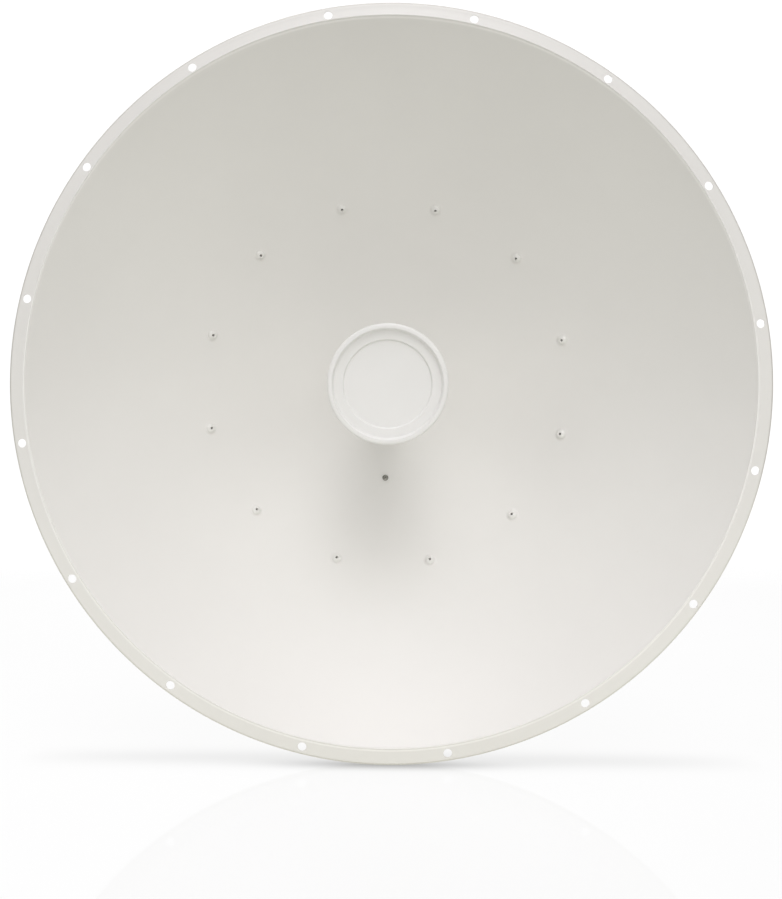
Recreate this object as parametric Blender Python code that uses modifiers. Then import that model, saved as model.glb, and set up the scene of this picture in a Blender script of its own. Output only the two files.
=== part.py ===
# A dish antenna for a point-to-point radio link: a pressed reflector with a front feed,
# a drawn ring riveted to its back, and a folded bracket that clamps to a pole.
# The origin is the middle of the flat pole face. The dish looks along -Y, and +Z is up.
# A height is a distance along the boresight, measured forward from the pole face.

import math

import bmesh
import bpy

# Driving dimensions, in metres

GAP = 0.0003
EDGE = 0.0008
OVERCUT = 0.002

RIM_R = 0.525
BOWL_R = 0.504
FOCAL = 0.238
VERTEX_HEIGHT = 0.150
SHEET = 0.002
HUB_FLAT_R = 0.060
HUB_HOLE_R = 0.030
BOWL_RINGS = 9
RIM_SEGMENTS = 96

BEAD_HEIGHT = 0.0014
BEAD_WIDTH = 0.0030
BEAD_CREST_START = 0.3
BEAD_SHOULDER = 0.4
FLANGE_SLOPE = math.radians(11)
LIP_RADIUS = 0.005
LIP_DEPTH = 0.020

RIM_HOLES = 16
RIM_HOLE_R = 0.006
RIM_HOLE_CIRCLE_R = 0.5133
FIRST_RIM_HOLE = math.radians(99.2)

RIVET_CIRCLE_R = 0.271

CAP_SET_BACK = 0.020
CAP_R = 0.0845
CAP_DEPTH = 0.033
CAP_LIP_INNER_R = 0.0768
CAP_DISC_R = 0.0615
CAP_FIRST_STEP = 0.0032
CAP_SECOND_STEP = 0.0060
CAP_EDGE_R = 0.0035
CAP_HEEL_R = 0.003
CONE_R = 0.070
CONE_RIM = 0.005
CONE_END_R = 0.029
CONE_LENGTH = 0.052
CONE_CURVE = 1.8
TUBE_R = 0.026
TUBE_TAPER = 0.0015
FEED_FLANGE_R = 0.050
FEED_FLANGE_DEPTH = 0.006
FEED_BOSS_R = 0.034
FEED_BOSS_DEPTH = 0.026
FEED_FILLET = 0.003

COLLAR_R = 0.052
COLLAR_DEPTH = 0.010
COLLAR_HUB_R = 0.036
COLLAR_HUB_DEPTH = 0.018
BLOCK_SIDE = 0.072
BLOCK_DEPTH = 0.045
BLOCK_EDGE_R = 0.005
PORT_R = 0.008
PORT_SEAT = 0.003
PORT_NECK = 0.005
PORT_WALL = 0.002
PORT_SOCKET = 0.009
PORT_LENGTH = 0.022
PORT_SPREAD = 0.018
RADIO_PLATE_WIDTH = 0.084
RADIO_PLATE_TOP = 0.068
RADIO_PLATE_BOTTOM = -0.082
RADIO_PLATE_THICKNESS = 0.0025
RADIO_PLATE_CORNER_R = 0.010
RADIO_SLOT_X = 0.026
RADIO_SLOT_WIDTH = 0.008
RADIO_SLOT_BOTTOM = -0.066
RADIO_SLOT_TOP = -0.046

RING_SHEET = 0.002
RING_FLANGE_R = 0.285
RING_WALL_R = 0.258
RING_FACE_R = 0.210
RING_OPENING_R = 0.105
RING_FACE_HEIGHT = 0.118
RING_LIP = 0.014
RING_BEND = 0.004
RING_SEGMENTS = 48
RING_CLEARANCE = 0.0006

PLATE = 0.005
BRACKET_WIDTH = 0.150
BRACKET_HEIGHT = 0.240
BRACKET_EAR = 0.004
BRACKET_EAR_REACH = 0.086
BEND_R = 0.008

CHEEK = 0.004
CHEEK_FOOT = 0.060
CHEEK_HEIGHT = 0.250
CHEEK_REAR = 0.016
FOOT_CORNER_R = 0.012
CORNER_R = 0.022

PIVOT_Y = -0.060
PIVOT_Z = -0.085
SLOT_RADIUS = 0.170
SLOT_HALF_ANGLE = math.radians(10)
SWIVEL_BOLT_R = 0.006
HEX_R = 0.0104
HEX_DEPTH = 0.0075
SWIVEL_BOLT_LENGTH = 0.030

ROD_Z = 0.085
ROD_R = 0.005
BARREL_R = 0.009
BARREL_FRONT_Y = -0.1035
BARREL_REAR_Y = -0.030
ROD_FRONT_Y = -0.128
ROD_REAR_Y = -0.010

CLAMP_Z = 0.085
CLAMP_BOLT_X = 0.052
CLAMP_BOLT_R = 0.005
CLAMP_BOLT_END = 0.108
JAW_WIDTH = 0.132
JAW_HEIGHT = 0.040
JAW_DEPTH = 0.028
JAW_SHEET = 0.004
JAW_CORNER = 0.016
JAW_FLANGE_INSET = 0.0002
SEAT_DEPTH = 0.0005
SEAT_ROOM = 0.0005
SEAT_DRAIN = 0.0020
NOTCH_FLOOR = 0.008
NOTCH_HALF_ANGLE = math.radians(55)
NOTCH_TEETH = 4
TOOTH = 0.0014
POLE_R = 0.030

# Sizes that follow from those

HUB_HEIGHT = VERTEX_HEIGHT + HUB_FLAT_R**2 / (4 * FOCAL)
RIM_HEIGHT = VERTEX_HEIGHT + BOWL_R**2 / (4 * FOCAL)
CAP_HEIGHT = RIM_HEIGHT - CAP_SET_BACK
POLE_Y = NOTCH_FLOOR + POLE_R / math.sin(NOTCH_HALF_ANGLE)

# How a piece drawn in its own XY plane is turned

LYING = (0, 0, 0)
FACING_FRONT = (math.pi / 2, 0, 0)
FACING_SIDE = (math.pi / 2, 0, math.pi / 2)
ALONG_X = (0, math.pi / 2, 0)
ALONG_Y = (math.pi / 2, 0, 0)


def empty_scene():
    for thing in list(bpy.data.objects):
        bpy.data.objects.remove(thing, do_unlink=True)


def new_collection(name):
    collection = bpy.data.collections.new(name)
    bpy.context.scene.collection.children.link(collection)
    return collection


def material(name, colour, roughness, metallic):
    made = bpy.data.materials.new(name)
    made.use_nodes = True
    shader = made.node_tree.nodes["Principled BSDF"]
    shader.inputs["Base Color"].default_value = (*colour, 1)
    shader.inputs["Roughness"].default_value = roughness
    shader.inputs["Metallic"].default_value = metallic
    made.diffuse_color = (*colour, 1)
    return made


empty_scene()
PARTS = new_collection("dish_antenna")
CUTTERS = new_collection("cutters")
CUTTERS.hide_render = True

POWDER_COAT = material("white_powder_coat", (0.80, 0.79, 0.76), 0.45, 0.0)
BRACKET_COAT = material("bracket_powder_coat", (0.74, 0.74, 0.72), 0.50, 0.0)
PLASTIC = material("white_plastic", (0.82, 0.82, 0.80), 0.38, 0.0)
CAST_METAL = material("cast_aluminium", (0.62, 0.63, 0.64), 0.45, 1.0)
BOLT_STEEL = material("zinc_steel", (0.55, 0.55, 0.54), 0.35, 1.0)
PORT_METAL = material("nickel_port", (0.66, 0.62, 0.52), 0.30, 1.0)


def add_part(name, mesh, coat, turn=LYING, place=(0, 0, 0)):
    part = bpy.data.objects.new(name, mesh)
    part.rotation_euler = turn
    part.location = place
    part.data.materials.append(coat)
    PARTS.objects.link(part)
    return part


def to_cutter(tool):
    """Move a piece that only shapes its neighbours out of the antenna."""
    PARTS.objects.unlink(tool)
    CUTTERS.objects.link(tool)
    tool.hide_render = True
    tool.display_type = "WIRE"
    return tool


def combine(part, tool, operation):
    boolean = part.modifiers.new(operation.lower(), "BOOLEAN")
    boolean.operation = operation
    boolean.object = to_cutter(tool)


def cut(part, tool):
    combine(part, tool, "DIFFERENCE")


def fuse(part, tool):
    combine(part, tool, "UNION")


def settle(part, sharp_angle=32):
    """Fix the modifiers into the mesh and shade the round faces smooth."""
    bpy.context.view_layer.update()
    graph = bpy.context.evaluated_depsgraph_get()
    mesh = bpy.data.meshes.new_from_object(part.evaluated_get(graph))
    part.modifiers.clear()
    part.data = mesh
    mesh.shade_smooth()
    mesh.set_sharp_from_angle(angle=math.radians(sharp_angle))
    return part


def spin(part, steps):
    turn = part.modifiers.new("turned", "SCREW")
    turn.steps = steps
    turn.render_steps = steps
    turn.use_merge_vertices = True
    turn.merge_threshold = 0.00001


def profile_mesh(name, profile):
    """A line of (radius, height) points in the XZ plane, to be turned about Z."""
    mesh = bpy.data.meshes.new(name)
    edges = [(i, i + 1) for i in range(len(profile) - 1)]
    mesh.from_pydata([(radius, 0, height) for radius, height in profile], edges, [])
    return mesh


def turned_solid(name, profile, coat, steps, turn=FACING_FRONT, place=(0, 0, 0)):
    part = add_part(name, profile_mesh(name, profile), coat, turn, place)
    spin(part, steps)
    return part


def turned_sheet(name, profile, thickness, coat, steps):
    part = add_part(name, profile_mesh(name, profile), coat, FACING_FRONT)
    spin(part, steps)
    wall = part.modifiers.new("wall", "SOLIDIFY")
    wall.thickness = thickness
    wall.offset = -1
    wall.use_even_offset = True
    return part


def rod(name, radius, length, coat, turn, place, sides=24):
    mesh = bpy.data.meshes.new(name)
    shape = bmesh.new()
    bmesh.ops.create_cone(
        shape,
        cap_ends=True,
        segments=sides,
        radius1=radius,
        radius2=radius,
        depth=length,
    )
    shape.to_mesh(mesh)
    shape.free()
    return add_part(name, mesh, coat, turn, place)


def box(name, size, coat, place):
    mesh = bpy.data.meshes.new(name)
    shape = bmesh.new()
    bmesh.ops.create_cube(shape, size=1)
    bmesh.ops.scale(shape, vec=size, verts=shape.verts)
    shape.to_mesh(mesh)
    shape.free()
    return add_part(name, mesh, coat, place=place)


def flat_piece(name, outlines, thickness, coat, turn=LYING, place=(0, 0, 0)):
    """A flat outline, with any further ones as holes in it, given a thickness."""
    curve = bpy.data.curves.new(name, "CURVE")
    curve.dimensions = "2D"
    curve.fill_mode = "BOTH"
    curve.extrude = thickness / 2
    for outline in outlines:
        spline = curve.splines.new("POLY")
        spline.points.add(len(outline) - 1)
        for point, (across, up) in zip(spline.points, outline):
            point.co = (across, up, 0, 1)
        spline.use_cyclic_u = True
    drawn = bpy.data.objects.new(name, curve)
    PARTS.objects.link(drawn)
    bpy.context.view_layer.update()
    graph = bpy.context.evaluated_depsgraph_get()
    mesh = bpy.data.meshes.new_from_object(drawn.evaluated_get(graph))
    bpy.data.objects.remove(drawn, do_unlink=True)
    shape = bmesh.new()
    shape.from_mesh(mesh)
    bmesh.ops.remove_doubles(shape, verts=shape.verts, dist=0.000001)
    bmesh.ops.recalc_face_normals(shape, faces=shape.faces)
    shape.to_mesh(mesh)
    shape.free()
    return add_part(name, mesh, coat, turn, place)


def arc(centre, radius, start, end, steps):
    """Points along an arc, both ends included. Angles are in degrees."""
    points = []
    for step in range(steps + 1):
        angle = math.radians(start + (end - start) * step / steps)
        points.append(
            (centre[0] + radius * math.cos(angle), centre[1] + radius * math.sin(angle))
        )
    return points


def rounded_rectangle(left, bottom, right, top, radius, steps=4):
    points = arc((right - radius, top - radius), radius, 0, 90, steps)
    points += arc((left + radius, top - radius), radius, 90, 180, steps)
    points += arc((left + radius, bottom + radius), radius, 180, 270, steps)
    points += arc((right - radius, bottom + radius), radius, 270, 360, steps)
    return points


# Reflector


def bowl_height(radius):
    return VERTEX_HEIGHT + radius**2 / (4 * FOCAL)


def behind_bowl(radius, depth):
    """The height of a point that lies this deep behind the bowl's front face."""
    slope = radius / (2 * FOCAL)
    return bowl_height(radius) - depth * math.hypot(1, slope)


def reflector_profile():
    """From the feed hole outward: flat hub, bowl, bead, sloping flange and rolled lip."""
    profile = [(HUB_HOLE_R, HUB_HEIGHT)]
    for ring in range(BOWL_RINGS + 1):
        radius = HUB_FLAT_R + (BOWL_R - HUB_FLAT_R) * ring / BOWL_RINGS
        profile.append((radius, bowl_height(radius)))
    for share in (BEAD_CREST_START, 1 - BEAD_CREST_START):
        profile.append((BOWL_R + share * BEAD_WIDTH, RIM_HEIGHT + BEAD_HEIGHT))
    flange_start = BOWL_R + BEAD_WIDTH
    flange_end = RIM_R - LIP_RADIUS
    fall = (flange_end - flange_start) * math.tan(FLANGE_SLOPE)
    shoulder = RIM_HEIGHT + BEAD_SHOULDER * BEAD_HEIGHT
    profile.append((flange_start, shoulder))
    roll_centre = (flange_end, shoulder - fall - LIP_RADIUS)
    profile += arc(roll_centre, LIP_RADIUS, 90 - math.degrees(FLANGE_SLOPE), 0, 3)
    profile.append((RIM_R, RIM_HEIGHT - LIP_DEPTH))
    return profile


def rim_hole_places():
    for k in range(RIM_HOLES):
        angle = FIRST_RIM_HOLE - 2 * math.pi * k / RIM_HOLES
        yield RIM_HOLE_CIRCLE_R * math.cos(angle), RIM_HOLE_CIRCLE_R * math.sin(angle)


def make_reflector():
    reflector = turned_sheet(
        "reflector", reflector_profile(), SHEET, POWDER_COAT, RIM_SEGMENTS
    )
    for x, z in rim_hole_places():
        place = (x, -RIM_HEIGHT, z)
        drill = rod("rim_hole", RIM_HOLE_R, 2 * LIP_DEPTH, POWDER_COAT, ALONG_Y, place, 16)
        cut(reflector, drill)
    settle(reflector)


# Feed


def make_feed_cap():
    top = CAP_HEIGHT
    disc = top - CAP_SECOND_STEP
    step = top - CAP_FIRST_STEP
    profile = [(0, disc), (CAP_DISC_R - EDGE, disc), (CAP_DISC_R, disc + EDGE)]
    profile += [(CAP_DISC_R + EDGE, step), (CAP_LIP_INNER_R - 2 * EDGE, step)]
    profile += [(CAP_LIP_INNER_R, top - EDGE), (CAP_LIP_INNER_R + EDGE, top)]
    profile += arc((CAP_R - CAP_EDGE_R, top - CAP_EDGE_R), CAP_EDGE_R, 90, 0, 4)
    heel = (CAP_R - EDGE - CAP_HEEL_R, top - CAP_DEPTH + CAP_HEEL_R)
    profile += arc(heel, CAP_HEEL_R, 0, -90, 2)
    profile.append((0, top - CAP_DEPTH))
    settle(turned_solid("feed_cap", profile, PLASTIC, 48))


def make_feed_cone():
    top = CAP_HEIGHT - CAP_DEPTH - GAP
    profile = [(0, top), (CONE_R, top), (CONE_R, top - CONE_RIM)]
    steps = 6
    for k in range(1, steps + 1):
        along = k / steps
        radius = CONE_END_R + (CONE_R - CONE_END_R) * (1 - along) ** CONE_CURVE
        profile.append((radius, top - CONE_RIM - (CONE_LENGTH - CONE_RIM) * along))
    profile.append((0, top - CONE_LENGTH))
    settle(turned_solid("feed_cone", profile, PLASTIC, 48))
    return top - CONE_LENGTH


def make_feed_tube(top):
    bottom = HUB_HEIGHT + 2 * GAP + FEED_BOSS_DEPTH
    profile = [(0, top - GAP), (TUBE_R, top - GAP), (TUBE_R + TUBE_TAPER, bottom)]
    profile.append((0, bottom))
    settle(turned_solid("feed_tube", profile, PLASTIC, 40))


def make_feed_flange():
    base = HUB_HEIGHT + GAP
    rim = base + FEED_FLANGE_DEPTH
    top = base + FEED_BOSS_DEPTH
    profile = [(0, top), (FEED_BOSS_R - 2 * EDGE, top), (FEED_BOSS_R, top - 2 * EDGE)]
    profile += [(FEED_BOSS_R + EDGE, rim + FEED_FILLET), (FEED_BOSS_R + FEED_FILLET + EDGE, rim)]
    profile += [(FEED_FLANGE_R - EDGE, rim), (FEED_FLANGE_R, rim - EDGE)]
    profile += [(FEED_FLANGE_R, base), (0, base)]
    settle(turned_solid("feed_flange", profile, PLASTIC, 48))


def make_feed_collar():
    seat = HUB_HEIGHT - SHEET - GAP
    rim = seat - COLLAR_DEPTH
    rear = seat - COLLAR_HUB_DEPTH
    neck_r = HUB_HOLE_R - 2 * GAP
    profile = [(0, HUB_HEIGHT), (neck_r, HUB_HEIGHT), (neck_r, seat), (COLLAR_R, seat)]
    profile += [(COLLAR_R, rim + EDGE), (COLLAR_R - EDGE, rim)]
    profile += [(COLLAR_HUB_R, rim), (COLLAR_HUB_R, rear), (0, rear)]
    settle(turned_solid("feed_collar", profile, CAST_METAL, 48))
    return rear


def bevel(part, width, segments):
    edge = part.modifiers.new("rounded", "BEVEL")
    edge.width = width
    edge.segments = segments
    edge.limit_method = "ANGLE"


def make_feed_block(front):
    middle = front - GAP - BLOCK_DEPTH / 2
    size = (BLOCK_SIDE, BLOCK_DEPTH, BLOCK_SIDE)
    block = box("feed_block", size, CAST_METAL, (0, -middle, 0))
    bevel(block, BLOCK_EDGE_R, 2)
    settle(block)
    return middle


def make_rf_ports(height):
    """Two coaxial ports that look down from the block: a round seat, a neck and a hollow barrel."""
    seat_r = PORT_R + PORT_WALL
    neck_r = PORT_R - EDGE
    socket_r = PORT_R - PORT_WALL
    neck_end = -PORT_SEAT - PORT_NECK
    socket_floor = -PORT_LENGTH + PORT_SOCKET
    for side, name in ((-1, "rf_port_left"), (1, "rf_port_right")):
        profile = [(0, 0), (seat_r, 0), (seat_r, -PORT_SEAT), (neck_r, -PORT_SEAT)]
        profile += [(neck_r, neck_end), (PORT_R, neck_end), (PORT_R, -PORT_LENGTH)]
        profile += [(socket_r, -PORT_LENGTH), (socket_r, socket_floor), (0, socket_floor)]
        place = (side * PORT_SPREAD, -height, -BLOCK_SIDE / 2 - GAP)
        settle(turned_solid(name, profile, PORT_METAL, 24, LYING, place))


def make_radio_plate(block_middle):
    half = RADIO_PLATE_WIDTH / 2
    outline = rounded_rectangle(
        -half, RADIO_PLATE_BOTTOM, half, RADIO_PLATE_TOP, RADIO_PLATE_CORNER_R
    )
    end_r = RADIO_SLOT_WIDTH / 2
    slots = [
        rounded_rectangle(
            x - end_r, RADIO_SLOT_BOTTOM, x + end_r, RADIO_SLOT_TOP, end_r - GAP / 2
        )
        for x in (-RADIO_SLOT_X, RADIO_SLOT_X)
    ]
    height = block_middle - BLOCK_DEPTH / 2 - GAP - RADIO_PLATE_THICKNESS / 2
    plate = flat_piece(
        "radio_plate",
        [outline, *slots],
        RADIO_PLATE_THICKNESS,
        BRACKET_COAT,
        FACING_FRONT,
        (0, -height, 0),
    )
    settle(plate)


# Back ring


def make_back_ring():
    """From the riveted flange inward: flange, wall, flat face and inner lip."""
    depth = SHEET + RING_CLEARANCE + RING_SHEET
    face = RING_FACE_HEIGHT
    profile = [
        (radius, behind_bowl(radius, depth))
        for radius in (RING_FLANGE_R, RIVET_CIRCLE_R, RING_WALL_R)
    ]
    profile += [(RING_FACE_R + RING_BEND, face + 2 * RING_BEND), (RING_FACE_R, face)]
    profile += [(RING_OPENING_R + RING_BEND, face), (RING_OPENING_R, face + RING_BEND)]
    profile.append((RING_OPENING_R, face + RING_LIP))
    ring = turned_sheet("back_ring", profile, RING_SHEET, POWDER_COAT, RING_SEGMENTS)
    settle(ring)


# Elevation bracket


def corner_cutter(part, turn, corner, signs, radius, reach):
    """Round one outer corner of a folded plate. The signs point from the plate's middle to it."""
    inner = (corner[0] - signs[0] * radius, corner[1] - signs[1] * radius)
    over = 2 * OVERCUT
    points = []
    for x, y in arc((0, 0), radius, 0, 90, 5):
        points.append((inner[0] + signs[0] * x, inner[1] + signs[1] * y))
    points.append((inner[0], corner[1] + signs[1] * over))
    points.append((corner[0] + signs[0] * over, corner[1] + signs[1] * over))
    points.append((corner[0] + signs[0] * over, inner[1]))
    low, high = reach
    middle = (low + high) / 2
    place = (middle, 0, 0) if turn == FACING_SIDE else (0, middle, 0)
    tool = flat_piece("corner", [points], high - low, BRACKET_COAT, turn, place)
    cut(part, tool)


def slot_outline():
    """The curved slot that the elevation bolt locks in, centred on the pivot."""
    pivot = (PIVOT_Y, PIVOT_Z)
    half = SWIVEL_BOLT_R + 2 * GAP
    swing = math.degrees(SLOT_HALF_ANGLE)
    ends = [arc(pivot, SLOT_RADIUS, 90 + s * swing, 90 + s * swing, 1)[0] for s in (-1, 1)]
    outline = arc(pivot, SLOT_RADIUS + half, 90 - swing, 90 + swing, 8)
    outline += arc(ends[1], half, 90 + swing, 270 + swing, 6)[1:-1]
    outline += arc(pivot, SLOT_RADIUS - half, 90 + swing, 90 - swing, 8)
    outline += arc(ends[0], half, -90 - swing, 90 - swing, 6)[1:-1]
    return outline


def make_cheek(side, name):
    """A folded side plate: a foot on the ring's flat face and an ear that runs back."""
    inner = BRACKET_WIDTH / 2 + GAP
    front = -(RING_FACE_HEIGHT - GAP)
    fold = BEND_R - CHEEK
    turn_centre = (inner + BEND_R, front + BEND_R)
    outline = arc(turn_centre, BEND_R, 270, 180, 4)
    outline += [(inner, -CHEEK_REAR), (inner + CHEEK, -CHEEK_REAR)]
    outline += arc(turn_centre, fold, 180, 270, 4)
    outline += [(inner + CHEEK_FOOT, front + CHEEK), (inner + CHEEK_FOOT, front)]
    outline = [(side * x, y) for x, y in outline]
    cheek = flat_piece(name, [outline], CHEEK_HEIGHT, BRACKET_COAT)

    reach = sorted((side * (inner - OVERCUT), side * (inner + CHEEK + OVERCUT)))
    middle = side * (inner + CHEEK / 2)
    slot = flat_piece(
        "slot", [slot_outline()], 3 * CHEEK, BRACKET_COAT, FACING_SIDE, (middle, 0, 0)
    )
    cut(cheek, slot)
    hole_r = SWIVEL_BOLT_R + GAP
    place = (middle, PIVOT_Y, PIVOT_Z)
    cut(cheek, rod("pivot_hole", hole_r, 3 * CHEEK, BRACKET_COAT, ALONG_X, place))
    for up in (-1, 1):
        top = up * CHEEK_HEIGHT / 2
        corner_cutter(cheek, FACING_SIDE, (-CHEEK_REAR, top), (1, up), CORNER_R, reach)
        foot_end = (side * (inner + CHEEK_FOOT), top)
        deep = (front - OVERCUT, front + CHEEK + OVERCUT)
        corner_cutter(cheek, FACING_FRONT, foot_end, (side, up), FOOT_CORNER_R, deep)
    settle(cheek)


def make_pole_bracket():
    """A folded U plate with ears that run forward between the cheeks. The flat pole face is its
    back, between two shallow seats that are pressed across it for the saddles."""
    half = BRACKET_WIDTH / 2
    fold = BEND_R - BRACKET_EAR
    right = [(half, -BRACKET_EAR_REACH)]
    right += arc((half - BEND_R, -BEND_R), BEND_R, 0, 90, 4)
    left = [(-x, y) for x, y in reversed(right)]
    inside_left = [(-half + BRACKET_EAR, -BRACKET_EAR_REACH)]
    inner_centre = (-half + BRACKET_EAR + fold, -PLATE - fold)
    inside_left += arc(inner_centre, fold, 180, 90, 4)
    inside_right = [(-x, y) for x, y in reversed(inside_left)]
    outline = right + left + inside_left + inside_right
    bracket = flat_piece("pole_bracket", [outline], BRACKET_HEIGHT, BRACKET_COAT)

    seat_height = JAW_HEIGHT + SEAT_ROOM + SEAT_DRAIN
    for z in (-CLAMP_Z, CLAMP_Z):
        place = (0, 0, z + (SEAT_ROOM - SEAT_DRAIN) / 2)
        size = (2 * BRACKET_WIDTH, 2 * SEAT_DEPTH, seat_height)
        cut(bracket, box("saddle_seat", size, BRACKET_COAT, place))

    hole_r = SWIVEL_BOLT_R + GAP
    for side in (-1, 1):
        middle = side * (half - BRACKET_EAR / 2)
        for z in (PIVOT_Z, PIVOT_Z + SLOT_RADIUS):
            place = (middle, PIVOT_Y, z)
            tool = rod("ear_hole", hole_r, 3 * BRACKET_EAR, BRACKET_COAT, ALONG_X, place)
            cut(bracket, tool)
        for z in (-CLAMP_Z, CLAMP_Z):
            place = (side * CLAMP_BOLT_X, -PLATE / 2, z)
            bore = CLAMP_BOLT_R + GAP
            tool = rod("plate_hole", bore, 3 * PLATE, BRACKET_COAT, ALONG_Y, place, 20)
            cut(bracket, tool)
        reach = sorted((side * (half - BRACKET_EAR - OVERCUT), side * (half + OVERCUT)))
        for up in (-1, 1):
            corner = (-BRACKET_EAR_REACH, up * BRACKET_HEIGHT / 2)
            corner_cutter(bracket, FACING_SIDE, corner, (-1, up), CORNER_R, reach)
    settle(bracket)


def hex_bolt(name, radius, length, turn, place, head_place):
    bolt = rod(name, radius, length, BOLT_STEEL, turn, place, 20)
    head = rod("head", HEX_R, HEX_DEPTH, BOLT_STEEL, turn, head_place, 6)
    fuse(bolt, head)
    settle(bolt)


def make_swivel_bolts():
    """The pivot bolts below and the locking bolts in the slots above, heads outward."""
    outer = BRACKET_WIDTH / 2 + GAP + CHEEK
    for side, hand in ((-1, "left"), (1, "right")):
        head_x = outer + GAP + HEX_DEPTH / 2
        shank_x = head_x - SWIVEL_BOLT_LENGTH / 2
        for z, kind in ((PIVOT_Z, "pivot"), (PIVOT_Z + SLOT_RADIUS, "elevation")):
            hex_bolt(
                f"{kind}_bolt_{hand}",
                SWIVEL_BOLT_R,
                SWIVEL_BOLT_LENGTH,
                ALONG_X,
                (side * shank_x, PIVOT_Y, z),
                (side * head_x, PIVOT_Y, z),
            )


def make_elevation_screw():
    """A threaded rod through a barrel between the cheeks and one between the bracket's ears."""
    cheek_gap = BRACKET_WIDTH
    ear_gap = BRACKET_WIDTH - 2 * BRACKET_EAR - 2 * GAP
    for name, y, length in (
        ("barrel_front", BARREL_FRONT_Y, cheek_gap),
        ("barrel_rear", BARREL_REAR_Y, ear_gap),
    ):
        barrel = rod(name, BARREL_R, length, BOLT_STEEL, ALONG_X, (0, y, ROD_Z))
        bore = ROD_R + GAP
        tool = rod("bore", bore, 4 * BARREL_R, BOLT_STEEL, ALONG_Y, (0, y, ROD_Z), 20)
        cut(barrel, tool)
        settle(barrel)
    middle = (ROD_FRONT_Y + ROD_REAR_Y) / 2
    length = ROD_REAR_Y - ROD_FRONT_Y
    place = (0, middle, ROD_Z)
    settle(rod("elevation_rod", ROD_R, length, BOLT_STEEL, ALONG_Y, place, 20))


# Pole clamps


def notched_outline():
    """A clamp flange seen from above: a straight back and a toothed V notch in front."""
    half = JAW_WIDTH / 2
    rise = JAW_DEPTH - NOTCH_FLOOR
    reach = rise * math.tan(NOTCH_HALF_ANGLE)
    notch = []
    for k in range(NOTCH_TEETH):
        near = 1 - k / NOTCH_TEETH
        notch.append((reach * near, NOTCH_FLOOR + rise * near))
        tip = near - 0.5 / NOTCH_TEETH
        notch.append((reach * tip + TOOTH, NOTCH_FLOOR + rise * tip - TOOTH))
    left_notch = [(-x, y) for x, y in reversed(notch)]
    shoulder = JAW_DEPTH - JAW_CORNER
    outline = [(half, EDGE), (half, shoulder), (half - JAW_CORNER, JAW_DEPTH)]
    outline += [*notch, (0, NOTCH_FLOOR), *left_notch]
    outline += [(-half + JAW_CORNER, JAW_DEPTH), (-half, shoulder), (-half, EDGE)]
    return outline


def make_clamp(name, z, base_y, facing):
    """A channel with V notched flanges. Facing is +1 where the notch opens towards +Y."""
    back = base_y + facing * JAW_SHEET / 2
    size = (JAW_WIDTH, JAW_SHEET, JAW_HEIGHT)
    clamp = box(name, size, BRACKET_COAT, (0, back, z))
    outline = [(x, base_y + facing * y) for x, y in notched_outline()]
    for up in (-1, 1):
        flange_z = z + up * (JAW_HEIGHT / 2 - JAW_SHEET / 2 - JAW_FLANGE_INSET)
        flange = flat_piece(
            "flange", [outline], JAW_SHEET, BRACKET_COAT, LYING, (0, 0, flange_z)
        )
        fuse(clamp, flange)
    for side in (-1, 1):
        place = (side * CLAMP_BOLT_X, back, z)
        bore = CLAMP_BOLT_R + GAP
        cut(clamp, rod("bore", bore, 3 * JAW_SHEET, BRACKET_COAT, ALONG_Y, place, 20))
    settle(clamp)


def make_clamps():
    far = 2 * POLE_Y
    for z, level in ((CLAMP_Z, "upper"), (-CLAMP_Z, "lower")):
        make_clamp(f"saddle_{level}", z, GAP - SEAT_DEPTH, 1)
        make_clamp(f"jaw_{level}", z, far, -1)
        head_y = -PLATE - GAP - HEX_DEPTH / 2
        length = CLAMP_BOLT_END - head_y
        for side, hand in ((-1, "left"), (1, "right")):
            hex_bolt(
                f"clamp_bolt_{level}_{hand}",
                CLAMP_BOLT_R,
                length,
                ALONG_Y,
                (side * CLAMP_BOLT_X, head_y + length / 2, z),
                (side * CLAMP_BOLT_X, head_y, z),
            )


make_reflector()
make_feed_cap()
cone_end = make_feed_cone()
make_feed_tube(cone_end)
make_feed_flange()
collar_rear = make_feed_collar()
block_middle = make_feed_block(collar_rear)
make_rf_ports(block_middle)
make_radio_plate(block_middle)
make_back_ring()
make_cheek(-1, "cheek_left")
make_cheek(1, "cheek_right")
make_pole_bracket()
make_swivel_bolts()
make_elevation_screw()
make_clamps()
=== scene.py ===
import math

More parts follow.
